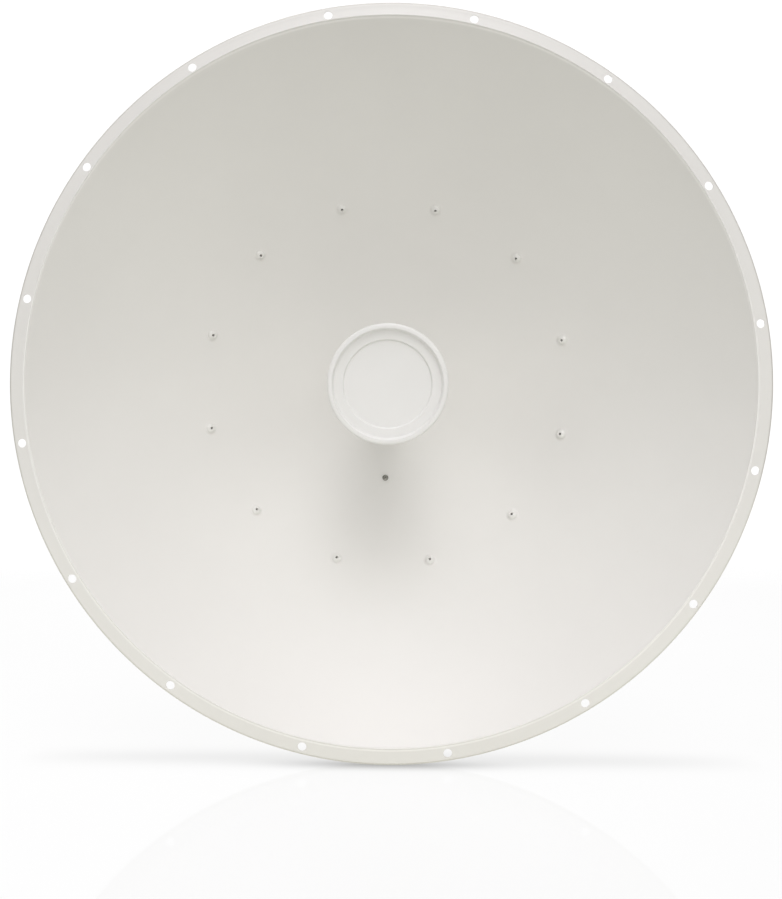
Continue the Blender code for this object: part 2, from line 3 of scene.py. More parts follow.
import bpy
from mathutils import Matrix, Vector


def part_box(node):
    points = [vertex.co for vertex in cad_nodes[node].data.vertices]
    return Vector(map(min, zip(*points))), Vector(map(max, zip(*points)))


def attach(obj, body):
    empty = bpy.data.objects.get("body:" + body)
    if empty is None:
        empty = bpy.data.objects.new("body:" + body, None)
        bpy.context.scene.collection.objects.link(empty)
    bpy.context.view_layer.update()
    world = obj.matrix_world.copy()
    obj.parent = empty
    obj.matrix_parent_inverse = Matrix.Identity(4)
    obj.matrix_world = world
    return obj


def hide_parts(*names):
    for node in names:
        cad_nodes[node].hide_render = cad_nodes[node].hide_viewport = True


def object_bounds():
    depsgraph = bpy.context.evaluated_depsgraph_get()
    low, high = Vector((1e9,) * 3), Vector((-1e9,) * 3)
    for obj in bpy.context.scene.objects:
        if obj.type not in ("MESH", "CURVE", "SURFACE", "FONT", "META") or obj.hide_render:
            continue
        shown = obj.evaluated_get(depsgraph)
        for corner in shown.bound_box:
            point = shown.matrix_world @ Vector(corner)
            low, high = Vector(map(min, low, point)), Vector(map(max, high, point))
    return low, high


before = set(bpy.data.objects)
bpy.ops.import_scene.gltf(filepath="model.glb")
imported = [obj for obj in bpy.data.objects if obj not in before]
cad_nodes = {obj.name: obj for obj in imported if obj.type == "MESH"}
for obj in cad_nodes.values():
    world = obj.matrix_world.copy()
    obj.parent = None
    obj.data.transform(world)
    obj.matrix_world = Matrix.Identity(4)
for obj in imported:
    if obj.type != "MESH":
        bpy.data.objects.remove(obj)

cad_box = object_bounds()

# The photographer's place
# The camera stands 2.5 m in front of the pole face, level with the dish's middle and a little left
# of it. The picture is a crop, so the frame is shifted from the lens's own middle.

photo_width = 782
photo_height = 899
focal_length_pixels = 1516.7
lens_middle_x = 305.2
lens_middle_y = 392.6
film_width = 36
camera_place = (-0.0341, -2.5, -0.0067)
camera_raised = math.radians(89.859)
camera_turned = math.radians(2.185)

camera = bpy.data.objects.new("camera", bpy.data.cameras.new("camera"))
bpy.context.scene.collection.objects.link(camera)
bpy.context.scene.camera = camera
camera.location = camera_place
camera.rotation_euler = (camera_raised, 0, camera_turned)
camera.data.sensor_width = film_width
camera.data.lens = focal_length_pixels * film_width / photo_height
camera.data.shift_x = (photo_width / 2 - lens_middle_x) / photo_height
camera.data.shift_y = (lens_middle_y - photo_height / 2) / photo_height

# Floor and studio light
# A round white sheet that the dish stands on by its rim, which fades into white all round, with a soft shadow
# under the rim painted into its glow. Soft patches of light hang in the surround: the main one is high in
# front and a little to the right.

floor_reach = 3.4
floor_fade_start = 1.7
floor_level = cad_box[0].z
rim_plane = cad_box[0].y
under_rim = rim_plane + 0.042
under_rim_spread = 0.045
under_rim_end = 0.52
under_rim_shade = 0.135
contact_line = rim_plane + 0.010
contact_spread = 0.023
contact_reach = 0.125
contact_shade = 0.46
sheet_brightness = 0.90
sheet_gloss = 0.05
sheet_roughness = 0.03
sent_up_dull = 0.36
sent_up_glossy = 1.17

bpy.context.scene.view_settings.view_transform = "Standard"


def put(tree, kind, **sockets):
    """Add a node. Each named input takes a value, or is linked where it is given an output."""
    node = tree.nodes.new(kind)
    for name, value in sockets.items():
        wire(tree, value, node.inputs[name.replace("_", " ")])
    return node


def wire(tree, value, socket):
    if isinstance(value, bpy.types.NodeSocket):
        tree.links.new(value, socket)
    else:
        socket.default_value = value


def reckon(tree, operation, *values):
    """One step of arithmetic on numbers or outputs."""
    node = tree.nodes.new("ShaderNodeMath")
    node.operation = operation
    for socket, value in zip(node.inputs, values):
        wire(tree, value, socket)
    return node.outputs[0]


def reckon_vector(tree, operation, first, second=(0, 0, 0)):
    """The same for vectors and colours. SCALE takes a number second."""
    node = tree.nodes.new("ShaderNodeVectorMath")
    node.operation = operation
    wire(tree, first, node.inputs[0])
    wire(tree, second, node.inputs["Scale" if operation == "SCALE" else 1])
    return node.outputs["Value" if operation in ("DOT_PRODUCT", "LENGTH") else "Vector"]


def blend_colours(tree, mask, low, high):
    node = tree.nodes.new("ShaderNodeMix")
    node.data_type = "RGBA"
    for socket, value in zip((node.inputs[0], node.inputs[6], node.inputs[7]), (mask, low, high)):
        wire(tree, value, socket)
    return node.outputs[2]


def blend_shaders(tree, mask, low, high):
    node = put(tree, "ShaderNodeMixShader", Fac=mask)
    tree.links.new(low, node.inputs[1])
    tree.links.new(high, node.inputs[2])
    return node.outputs[0]


def add_shaders(tree, first, second):
    node = tree.nodes.new("ShaderNodeAddShader")
    for socket, shader in zip(node.inputs, (first, second)):
        tree.links.new(shader.outputs[0], socket)
    return node.outputs[0]


def between(tree, value, low, high, out_low=0.0, out_high=1.0):
    """Stretch a value's range to another, with nothing past its ends."""
    node = put(tree, "ShaderNodeMapRange", Value=value, From_Min=low, From_Max=high)
    node.inputs["To Min"].default_value = out_low
    node.inputs["To Max"].default_value = out_high
    return node.outputs["Result"]


def soft_hump(tree, value, middle, spread):
    """One at its middle, and falling away softly on both sides."""
    offset = reckon(tree, "DIVIDE", reckon(tree, "SUBTRACT", value, middle), spread)
    return reckon(tree, "EXPONENT", reckon(tree, "MULTIPLY", reckon(tree, "MULTIPLY", offset, offset), -1.0))


surround = bpy.data.worlds.new("white_surround")
surround.use_nodes = True
sky = surround.node_tree
sky.nodes.clear()
looking = put(sky, "ShaderNodeTexCoord").outputs["Generated"]
light = (0.02, 0.02, 0.02)
# Each patch: degrees to the right of the front, degrees up, how tight it is, and its colour.
for turned, raised, tightness, colour in (
    (5, 33, 40, (1.00, 0.98, 0.96)),
    (5, 46, 40, (2.76, 2.71, 2.66)),
    (5, 60, 40, (2.20, 2.20, 2.36)),
    (0, 80, 12, (2.84, 2.74, 2.84)),
    (0, 12, 12, (1.44, 1.41, 1.40)),
    (35, 14, 12, (0.62, 0.63, 0.60)),
    (58, 15, 22, (0.90, 0.90, 0.88)),
    (-56, 15, 22, (0.72, 0.73, 0.71)),
    (-72, 15, 14, (0.52, 0.53, 0.52)),
    (180, 45, 12, (1.5, 1.5, 1.5)),
    (140, 15, 12, (0.5, 0.5, 0.5)),
    (-140, 15, 12, (0.9, 0.9, 0.9)),
    (180, 10, 12, (0.9, 0.9, 0.9)),
):
    turned = math.radians(turned)
    raised = math.radians(raised)
    towards = (
        math.sin(turned) * math.cos(raised),
        -math.cos(turned) * math.cos(raised),
        math.sin(raised),
    )
    nearness = reckon_vector(sky, "DOT_PRODUCT", looking, towards)
    falloff = reckon(sky, "MULTIPLY_ADD", nearness, tightness, -tightness)
    patch = reckon_vector(sky, "SCALE", colour, reckon(sky, "EXPONENT", falloff))
    light = reckon_vector(sky, "ADD", light, patch)
seen = put(sky, "ShaderNodeBackground", Color=(1, 1, 1, 1), Strength=1.05)
cast = put(sky, "ShaderNodeBackground", Color=light, Strength=1.0)
is_seen = put(sky, "ShaderNodeLightPath").outputs["Is Camera Ray"]
put(sky, "ShaderNodeOutputWorld", Surface=blend_shaders(sky, is_seen, cast.outputs[0], seen.outputs[0]))
bpy.context.scene.world = surround

bpy.ops.object.select_all(action="DESELECT")
bpy.ops.mesh.primitive_circle_add(
    vertices=96, radius=floor_reach, fill_type="NGON", location=(0, 0, floor_level)
)
floor = bpy.context.object
floor.name = "floor"
bpy.ops.object.transform_apply(location=True)

white_sheet = bpy.data.materials.new("white_sheet")
white_sheet.use_nodes = True
tree = white_sheet.node_tree
tree.nodes.clear()
ray = put(tree, "ShaderNodeLightPath").outputs
place = put(tree, "ShaderNodeTexCoord").outputs["Object"]
across = put(tree, "ShaderNodeSeparateXYZ", Vector=place).outputs["X"]
depth = put(tree, "ShaderNodeSeparateXYZ", Vector=place).outputs["Y"]
grain = put(tree, "ShaderNodeTexNoise", Vector=place, Scale=3.0, Detail=3.0).outputs["Fac"]
# Painted shadow: a soft band under the rim and a dark line where the rim meets the sheet darken the sheet's
# glow.
sideways = reckon(tree, "DIVIDE", reckon(tree, "ABSOLUTE", across), under_rim_end)
width_left = reckon(tree, "MAXIMUM", reckon(tree, "SUBTRACT", 1.0, reckon(tree, "POWER", sideways, 4.0)), 0.0)
band = reckon(tree, "MULTIPLY", soft_hump(tree, depth, under_rim, under_rim_spread), width_left)
contact = soft_hump(tree, depth, contact_line, contact_spread)
contact = reckon(tree, "MULTIPLY", contact, soft_hump(tree, across, 0.0, contact_reach))
shade = reckon(tree, "MULTIPLY_ADD", band, -under_rim_shade, 1.0)
shade = reckon(tree, "MULTIPLY_ADD", contact, -contact_shade, shade)
glow = reckon(tree, "MULTIPLY", shade, sheet_brightness)
sheet_glow = put(tree, "ShaderNodeEmission", Color=(1, 1, 1, 1), Strength=glow)
paper_white = blend_colours(tree, grain, (0.075, 0.075, 0.075, 1), (0.085, 0.085, 0.085, 1))
sheet_paper = put(tree, "ShaderNodeBsdfDiffuse", Color=paper_white)
lit_sheet = add_shaders(tree, sheet_glow, sheet_paper)
sheen = put(tree, "ShaderNodeBsdfGlossy", Color=(1, 1, 1, 1), Roughness=sheet_roughness)
seen_sheet = blend_shaders(tree, sheet_gloss, lit_sheet, sheen.outputs[0])
sent_up_step = sent_up_glossy - sent_up_dull
sent_up = reckon(tree, "MULTIPLY_ADD", ray["Is Glossy Ray"], sent_up_step, sent_up_dull)
mirror_glow = put(tree, "ShaderNodeEmission", Color=(1, 1, 0.87, 1), Strength=sent_up)
bounce = put(tree, "ShaderNodeBsdfDiffuse", Color=(0.40, 0.40, 0.39, 1))
unseen_sheet = add_shaders(tree, mirror_glow, bounce)
whole_sheet = blend_shaders(tree, ray["Is Camera Ray"], unseen_sheet, seen_sheet)
away = reckon_vector(tree, "LENGTH", reckon_vector(tree, "MULTIPLY", place, (1, 1, 0)))
fade = between(tree, away, floor_fade_start, floor_reach - 0.1, 1.0, 0.0)
clear = put(tree, "ShaderNodeBsdfTransparent")
put(tree, "ShaderNodeOutputMaterial", Surface=blend_shaders(tree, fade, clear.outputs[0], whole_sheet))
floor.data.materials.append(white_sheet)

# Reflector
# The dish itself, pressed from one round of sheet steel: a flat hub with the feed's hole, a deep
# bowl, a small bead, a sloping flange with sixteen holes and a rolled lip, all powder coated.

rim_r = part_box("reflector")[1].x
bowl_r = 0.5023
focal = 0.238
vertex_height = 0.150
reflector_sheet = 0.002
hub_flat_r = 0.060
hub_bend = 0.003
hub_hole_r = 0.030
bead_height = 0.0020
bead_width = 0.0030
bead_lift = 0.0028
bend_run = 0.0007
bead_lift_reach = 0.18
flange_slope = math.radians(14.5)
lip_radius = 0.005
lip_depth = 0.020
hole_count = 16
hole_r = 0.006
hole_circle_r = 0.5133
first_hole = math.radians(99.2)
press_lines = 46
press_turns = 288
# A painted highlight along the bead's crest and a painted shade round the rolled lip.
bead_highlight_strength = 0.95
bead_highlight_reach = 0.0014
lip_shade_start = rim_r - 0.0032
lip_shade_full = rim_r - 0.0014
lip_shade_strength = 0.50


def bowl_height(radius):
    """How far in front of the pole face the bowl's front lies at this radius."""
    return vertex_height + radius**2 / (4 * focal)


def behind_bowl(radius, depth):
    """The same for a point that is this deep behind the bowl's front."""
    return bowl_height(radius) - depth * math.hypot(1, radius / (2 * focal))


def bend_round(middle, radius, start, end, steps):
    """Points round a bend, from one angle to another in degrees."""
    points = []
    for step in range(steps + 1):
        angle = math.radians(start + (end - start) * step / steps)
        points.append((middle[0] + radius * math.cos(angle), middle[1] + radius * math.sin(angle)))
    return points


def take(piece):
    """Select this piece alone, so that the next tool works on nothing else."""
    bpy.ops.object.select_all(action="DESELECT")
    piece.select_set(True)
    bpy.context.view_layer.objects.active = piece


def fix_place(piece):
    """Put the piece's place and turn into its mesh."""
    take(piece)
    bpy.ops.object.transform_apply(location=True, rotation=True, scale=True)


def set_down(piece, place, lean=(0, 0, 0)):
    """Put a piece in its place, turned to lie as it should."""
    piece.location = place
    piece.rotation_euler = lean
    fix_place(piece)


def turn(name, outline, steps, sheet_faces=None):
    """Draw half an outline upright, point by point as (radius, height), and spin it about Z.
    An open sheet is told which way its drawn side faces: +1 is up and -1 is down."""
    bpy.ops.object.select_all(action="DESELECT")
    bpy.ops.mesh.primitive_circle_add(vertices=3, radius=0.001)
    piece = bpy.context.object
    piece.name = name
    bpy.ops.object.mode_set(mode="EDIT")
    bpy.ops.mesh.select_mode(type="VERT")
    bpy.ops.mesh.select_all(action="SELECT")
    bpy.ops.mesh.merge(type="CENTER")
    bpy.ops.transform.translate(value=(outline[0][0], 0, outline[0][1]))
    for here, there in zip(outline, outline[1:]):
        stride = (there[0] - here[0], 0, there[1] - here[1])
        bpy.ops.mesh.extrude_region_move(TRANSFORM_OT_translate={"value": stride})
    bpy.ops.mesh.select_all(action="SELECT")
    bpy.ops.mesh.spin(steps=steps, angle=2 * math.pi, center=(0, 0, 0), axis=(0, 0, 1))
    bpy.ops.mesh.select_all(action="SELECT")
    bpy.ops.mesh.remove_doubles(threshold=0.000008)
    bpy.ops.mesh.normals_make_consistent(inside=False)
    bpy.ops.object.mode_set(mode="OBJECT")
    if sheet_faces:
        facing = sum(face.normal.z * face.area for face in piece.data.polygons)
        if facing * sheet_faces < 0:
            bpy.ops.object.mode_set(mode="EDIT")
            bpy.ops.mesh.flip_normals()
            bpy.ops.object.mode_set(mode="OBJECT")
    return piece


def pick_points(piece, wanted):
    """In edit mode, select the points that are not hidden and lie where they are wanted."""
    if bpy.context.mode == "OBJECT":
        take(piece)
        bpy.ops.object.mode_set(mode="EDIT")
    bpy.ops.mesh.select_mode(type="VERT")
    bpy.ops.mesh.select_all(action="DESELECT")
    bpy.ops.object.mode_set(mode="OBJECT")
    for point in piece.data.vertices:
        point.select = not point.hide and wanted(point.co)
    bpy.ops.object.mode_set(mode="EDIT")


def face_front(piece):
    """Lay an upright turned piece down, so that its height runs out of the dish's front."""
    set_down(piece, (0, 0, 0), (math.pi / 2, 0, 0))


def give_wall(piece, thickness):
    """Thicken a drawn sheet on the side that it doesn't face."""
    take(piece)
    wall = piece.modifiers.new("sheet", "SOLIDIFY")
    wall.thickness = thickness
    wall.offset = -1
    wall.use_even_offset = True
    bpy.ops.object.modifier_apply(modifier="sheet")


def cut_away(piece, tool, operation="DIFFERENCE"):
    """Cut a piece with a tool, or keep only what both share, and drop the tool."""
    take(piece)
    cutter = piece.modifiers.new("cut", "BOOLEAN")
    cutter.operation = operation
    cutter.object = tool
    bpy.ops.object.modifier_apply(modifier="cut")
    bpy.data.objects.remove(tool)


def gather(pieces):
    """Join several meshes into the first of them."""
    bpy.ops.object.select_all(action="DESELECT")
    for piece in pieces:
        piece.select_set(True)
    bpy.context.view_layer.objects.active = pieces[0]
    bpy.ops.object.join()
    return pieces[0]


def smooth(piece, angle=35):
    take(piece)
    bpy.ops.object.shade_smooth_by_angle(angle=math.radians(angle))


def hand_over(piece, finish, stands_for=None):
    """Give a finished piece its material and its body."""
    piece.data.materials.clear()
    piece.data.materials.append(finish)
    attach(piece, "root")
    if stands_for:
        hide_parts(stands_for)


colour_kind = "NodeSocketColor"
number_kind = "NodeSocketFloat"
vector_kind = "NodeSocketVector"


def new_effect(name, inputs, outputs):
    """A shared effect with named inputs and outputs. Each input has a name, a kind and a value."""
    group = bpy.data.node_groups.new(name, "ShaderNodeTree")
    for label, kind, first in inputs:
        socket = group.interface.new_socket(label, in_out="INPUT", socket_type=kind)
        socket.default_value = first
    for label, kind in outputs:
        group.interface.new_socket(label, in_out="OUTPUT", socket_type=kind)
    given = group.nodes.new("NodeGroupInput").outputs
    result = group.nodes.new("NodeGroupOutput").inputs
    return group, given, result


def use_effect(tree, group, **sockets):
    node = tree.nodes.new("ShaderNodeGroup")
    node.node_tree = group
    for name, value in sockets.items():
        wire(tree, value, node.inputs[name.replace("_", " ")])
    return node.outputs


def noise(tree, place, scale, detail=2.0, roughness=0.5):
    node = put(tree, "ShaderNodeTexNoise", Vector=place, Scale=scale, Detail=detail, Roughness=roughness)
    return node.outputs["Fac"]


def scaled(tree, colour, factor):
    """A colour made lighter or darker by a factor."""
    return reckon_vector(tree, "SCALE", colour, factor)


def new_material(name, colour):
    made = bpy.data.materials.new(name)
    made.use_nodes = True
    made.diffuse_color = colour
    return made, made.node_tree.nodes["Principled BSDF"], made.node_tree


# A baked powder coat shades a little from place to place, has a fine pebbled skin, and holds dust on what
# faces up. Its corners are darkened towards the same dust colour by an occlusion mask: painted shade.
powder_skin, given, result = new_effect(
    "powder_skin",
    [
        ("Coat", colour_kind, (0.8, 0.8, 0.8, 1)),
        ("Dust", colour_kind, (0.5, 0.48, 0.43, 1)),
        ("Dusting", number_kind, 0.1),
        ("Gloss Loss", number_kind, 0.4),
        ("Pebble", number_kind, 0.3),
    ],
    [("Colour", colour_kind), ("Roughness", number_kind), ("Normal", vector_kind)],
)
place = put(powder_skin, "ShaderNodeTexCoord").outputs["Object"]
cloudy = noise(powder_skin, place, 5.0, 5.0, 0.6)
peel = noise(powder_skin, place, 330.0)
pebbles = noise(powder_skin, place, 1250.0)
specks = between(powder_skin, noise(powder_skin, place, 420.0, 1.0), 0.74, 0.80, 0.0, 0.10)
# Corners, creases and the feet of parts that the occlusion finds are darkened towards the dust colour:
# painted shade.
shelter = put(powder_skin, "ShaderNodeAmbientOcclusion", Distance=0.02)
shelter.samples = 2
shelter.only_local = True
facing = put(powder_skin, "ShaderNodeNewGeometry").outputs["Normal"]
up = put(powder_skin, "ShaderNodeSeparateXYZ", Vector=facing).outputs["Z"]
settled = between(powder_skin, up, 0.3, 1.0, 0.0, 0.6)
hidden = reckon(powder_skin, "SUBTRACT", 1.0, shelter.outputs["AO"])
dust_and_corner_shade = reckon(powder_skin, "MAXIMUM", settled, hidden)
patchy = between(powder_skin, cloudy, 0.25, 0.75, 0.4, 1.0)
dust_and_shade_amount = reckon(powder_skin, "MULTIPLY", dust_and_corner_shade, patchy)
dust_and_shade_amount = reckon(powder_skin, "MULTIPLY", dust_and_shade_amount, given["Dusting"])
shaded = scaled(powder_skin, given["Coat"], between(powder_skin, cloudy, 0.3, 0.7, 0.985, 1.012))
speckled = blend_colours(powder_skin, specks, shaded, given["Dust"])
wire(powder_skin, blend_colours(powder_skin, dust_and_shade_amount, speckled, given["Dust"]), result["Colour"])
dulled = reckon(powder_skin, "MULTIPLY_ADD", dust_and_shade_amount, 0.5, given["Gloss Loss"])
uneven = between(powder_skin, peel, 0.2, 0.8, -0.04, 0.04)
wire(powder_skin, reckon(powder_skin, "ADD", dulled, uneven), result["Roughness"])
skin_height = reckon(powder_skin, "MULTIPLY_ADD", pebbles, 0.5, peel)
skin = put(powder_skin, "ShaderNodeBump", Strength=given["Pebble"], Distance=0.00006, Height=skin_height)
wire(powder_skin, skin.outputs["Normal"], result["Normal"])


def put_on(tree, skin, shader, colour=None):
    """Lead an effect's colour, roughness and relief to the surface."""
    wire(tree, skin["Colour"] if colour is None else colour, shader.inputs["Base Color"])
    wire(tree, skin["Roughness"], shader.inputs["Roughness"])
    wire(tree, skin["Normal"], shader.inputs["Normal"])


def coated(name, coat, dust, dust_and_shade, gloss_loss, pebble):
    made, shader, tree = new_material(name, coat)
    skin = use_effect(
        tree, powder_skin, Coat=coat, Dust=dust, Dusting=dust_and_shade, Gloss_Loss=gloss_loss, Pebble=pebble
    )
    put_on(tree, skin, shader)
    return made


dust_and_shade_colour = (0.46, 0.44, 0.38, 1)
dish_white = coated("dish_white_powder_coat", (0.80, 0.79, 0.765, 1), dust_and_shade_colour, 0.10, 0.36, 0.25)

# Painted highlight: the coat is made lighter along the bead's crest. Painted shade: it is made darker round
# the rolled lip, towards the dust colour.
tree = dish_white.node_tree
shader = tree.nodes["Principled BSDF"]
coat_colour = shader.inputs["Base Color"].links[0].from_socket
place = put(tree, "ShaderNodeTexCoord").outputs["Object"]
from_axis = reckon_vector(tree, "LENGTH", reckon_vector(tree, "MULTIPLY", place, (1, 0, 1)))
crest = soft_hump(tree, from_axis, bowl_r + bead_width / 2, bead_highlight_reach)
painted_bead_highlight = reckon(tree, "MULTIPLY", crest, bead_highlight_strength)
coat_colour = blend_colours(tree, painted_bead_highlight, coat_colour, (0.94, 0.93, 0.91, 1))
lip_shade_mask = between(tree, from_axis, lip_shade_start, lip_shade_full, 0.0, lip_shade_strength)
wire(tree, blend_colours(tree, lip_shade_mask, coat_colour, dust_and_shade_colour), shader.inputs["Base Color"])

hub_height = bowl_height(hub_flat_r)
rim_height = bowl_height(bowl_r)
outline = [(hub_hole_r, hub_height), (hub_flat_r - hub_bend, hub_height)]
bowl_run = bowl_r - bend_run - hub_flat_r - hub_bend
for line in range(press_lines + 1):
    radius = hub_flat_r + hub_bend + bowl_run * line / press_lines
    outline.append((radius, bowl_height(radius)))
outline.append((bowl_r, rim_height))
for angle in range(30, 180, 30):
    across = bowl_r + bead_width / 2 * (1 - math.cos(math.radians(angle)))
    outline.append((across, rim_height + bead_height * math.sin(math.radians(angle))))
flange_start = bowl_r + bead_width
flange_end = rim_r - lip_radius
shoulder = rim_height + 0.4 * bead_height
fall = (flange_end - flange_start) * math.tan(flange_slope)
outline.append((flange_start, shoulder))
outline.append((flange_start + bend_run, shoulder - bend_run * math.tan(flange_slope)))
outline.append(((flange_start + flange_end) / 2, shoulder - fall / 2))
outline.append((flange_end - bend_run, shoulder - fall + bend_run * math.tan(flange_slope)))
roll_middle = (flange_end, shoulder - fall - lip_radius)
outline += bend_round(roll_middle, lip_radius, 90 - math.degrees(flange_slope), 0, 8)
lip_end = rim_height - lip_depth
outline += [(rim_r, (roll_middle[1] + lip_end) / 2), (rim_r, lip_end)]
reflector = turn("reflector_pressing", outline, press_turns, sheet_faces=1)

# The press left the bead a little higher than the flange, so the flange is narrow at the top.
pick_points(reflector, lambda at: math.hypot(at.x, at.y) > flange_start + bead_width / 2)
bpy.ops.mesh.hide()
pick_points(reflector, lambda at: math.hypot(at.x, at.y) > bowl_r - bead_width / 2)
bpy.ops.transform.translate(
    value=(0, bead_lift, 0),
    use_proportional_edit=True,
    proportional_edit_falloff="SMOOTH",
    proportional_size=bead_lift_reach,
)
bpy.ops.mesh.reveal()
bpy.ops.object.mode_set(mode="OBJECT")
give_wall(reflector, reflector_sheet)
face_front(reflector)

drills = []
for hole in range(hole_count):
    angle = first_hole - 2 * math.pi * hole / hole_count
    at = (hole_circle_r * math.cos(angle), -rim_height, hole_circle_r * math.sin(angle))
    bpy.ops.object.select_all(action="DESELECT")
    bpy.ops.mesh.primitive_cylinder_add(
        vertices=40, radius=hole_r, depth=2 * lip_depth, location=at, rotation=(math.pi / 2, 0, 0)
    )
    drills.append(bpy.context.object)
cut_away(reflector, gather(drills))
smooth(reflector, 28)
hand_over(reflector, dish_white, "reflector")

# Back ring
# A drawn ring that stiffens the dish and carries the bracket. Its flange follows the bowl's back,
# where the rivets hold it, and its flat face has a turned-in lip round the middle opening.

ring_sheet = 0.002
ring_clearance = 0.0006
ring_flange_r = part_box("back_ring")[1].x
ring_wall_r = 0.258
ring_face_r = 0.210
ring_opening_r = 0.105
ring_bend = 0.007
ring_face_height = -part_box("back_ring")[1].y
ring_lip = 0.014

ring_depth = reflector_sheet + ring_clearance + ring_sheet
outline = []
for step in range(7):
    radius = ring_flange_r - 0.0005 - (ring_flange_r - ring_wall_r) * step / 6
    outline.append((radius, behind_bowl(radius, ring_depth)))
wall_top = Vector(outline[-1])
wall_foot = Vector((ring_face_r + 0.006, ring_face_height + 0.012))
outline.append(tuple(wall_top + (wall_foot - wall_top) * 0.12 + Vector((-0.0008, 0))))
outline.append(tuple(wall_foot))
outline += bend_round((ring_face_r - 0.0015, ring_face_height + ring_bend), ring_bend, 300, 270, 4)
outline += bend_round(
    (ring_opening_r + 0.004, ring_face_height + 0.004), 0.004, 270, 180, 5
)
outline.append((ring_opening_r, ring_face_height + ring_lip))
back_ring = turn("back_ring_pressing", outline, 192, sheet_faces=-1)
give_wall(back_ring, ring_sheet)
face_front(back_ring)
smooth(back_ring, 28)
hand_over(back_ring, dish_white, "back_ring")

# Rivets
# Twelve blind rivets with wide heads hold the ring. They were set before coating, so their heads
# are white too. The stub of the steel pin is deep in each head, and the tail is behind the ring.

rivet_count = 12
rivet_circle_r = 0.271
first_rivet = math.radians(14.1)
rivet_head_r = 0.0070
rivet_dome = 0.0042
rivet_edge = 0.0015
rivet_bore_r = 0.0018
rivet_seat_r = 0.0112
rivet_seat_rise = 0.0007
rivet_tail_r = 0.0045
rivet_tail = 0.010

pin_steel, shader, tree = new_material("rivet_pin_steel", (0.10, 0.10, 0.095, 1))
place = put(tree, "ShaderNodeTexCoord").outputs["Object"]
stain = noise(tree, place, 600.0, 4.0, 0.6)
pin_colour = blend_colours(tree, stain, (0.06, 0.06, 0.055, 1), (0.22, 0.21, 0.19, 1))
wire(tree, pin_colour, shader.inputs["Base Color"])
wire(tree, between(tree, stain, 0.2, 0.8, 0.45, 0.8), shader.inputs["Roughness"])
shader.inputs["Metallic"].default_value = 0.6


def on_bowl(angle, radius):
    """A place on the bowl's front, and the turn of a piece that stands straight out of it there."""
    slope = math.atan(radius / (2 * focal))
    out = Vector((
        -math.cos(angle) * math.sin(slope),
        -math.cos(slope),
        -math.sin(angle) * math.sin(slope),
    ))
    foot = Vector((radius * math.cos(angle), -bowl_height(radius), radius * math.sin(angle)))
    return foot, out.to_track_quat("Z", "Y").to_euler()


def copy_of(piece, name, place, lean=(0, 0, 0)):
    """A copy with its own mesh, put in its place and turned to lie as it should."""
    take(piece)
    bpy.ops.object.duplicate(linked=False)
    twin = bpy.context.object
    twin.name = name
    set_down(twin, place, lean)
    return twin


def put_away(*patterns):
    """Remove the pieces that were only modelled to be copied."""
    for pattern in patterns:
        bpy.data.objects.remove(pattern)


crown = rivet_seat_rise + rivet_dome
outline = [(rivet_seat_r, -0.0004), (rivet_seat_r - 0.0002, 0.00002)]
for step in range(1, 7):
    radius = rivet_seat_r - (rivet_seat_r - rivet_head_r) * step / 6
    outline.append((radius, rivet_seat_rise * (1 - math.cos(math.pi * step / 6)) / 2))
outline.append((rivet_head_r, rivet_seat_rise + rivet_edge))
for step in range(1, 7):
    radius = rivet_head_r - (rivet_head_r - rivet_bore_r - 0.0004) * step / 6
    rise = (rivet_dome - rivet_edge) * math.sin(math.pi / 2 * step / 6)
    outline.append((radius, rivet_seat_rise + rivet_edge + rise))
outline += [(rivet_bore_r, crown - 0.0004), (rivet_bore_r, -0.0012)]
rivet_head = turn("rivet_head", outline, 40)
smooth(rivet_head, 40)

stub_r = rivet_bore_r - 0.00003
outline = [(0, 0.0004), (0.6 * stub_r, 0.0006), (stub_r, 0.0001), (stub_r, -0.002)]
rivet_pin = turn("rivet_pin", outline, 24)
smooth(rivet_pin, 40)

tail_start = -ring_depth
outline = [(0.62 * rivet_tail_r, tail_start + 0.0006), (0.75 * rivet_tail_r, tail_start)]
for step in range(9):
    belly = rivet_tail_r * (0.80 + 0.20 * math.sin(math.pi * step / 8))
    outline.append((belly, tail_start - rivet_tail * (0.05 + 0.10 * step)))
outline += [(0.62 * rivet_tail_r, tail_start - 0.95 * rivet_tail), (0, tail_start - rivet_tail)]
rivet_tail_end = turn("rivet_tail", outline, 24)
smooth(rivet_tail_end, 40)

for rivet in range(rivet_count):
    foot, lean = on_bowl(first_rivet + 2 * math.pi * rivet / rivet_count, rivet_circle_r)
    number = f"{rivet + 1:02d}"
    hand_over(copy_of(rivet_head, f"rivet_head_{number}", foot, lean), dish_white)
    hand_over(copy_of(rivet_pin, f"rivet_pin_{number}", foot, lean), pin_steel)
    hand_over(copy_of(rivet_tail_end, f"rivet_tail_{number}", foot, lean), dish_white)
put_away(rivet_head, rivet_pin, rivet_tail_end)

# Earth screw
# One small steel screw through the bowl below the feed, with a washer under its head and a nut
# behind. It is dark phosphated steel and not painted, so it shows as a dark dot in the white.

screw_z = -0.143
screw_head_r = 0.0043
screw_head = 0.0026
screw_socket_r = 0.0021
screw_socket_floor = 0.0008
screw_end = 0.0105
screw_washer_r = 0.0046
screw_washer = 0.0007
screw_shank_r = 0.0024
screw_nut_r = 0.0044
screw_nut_height = 0.0040

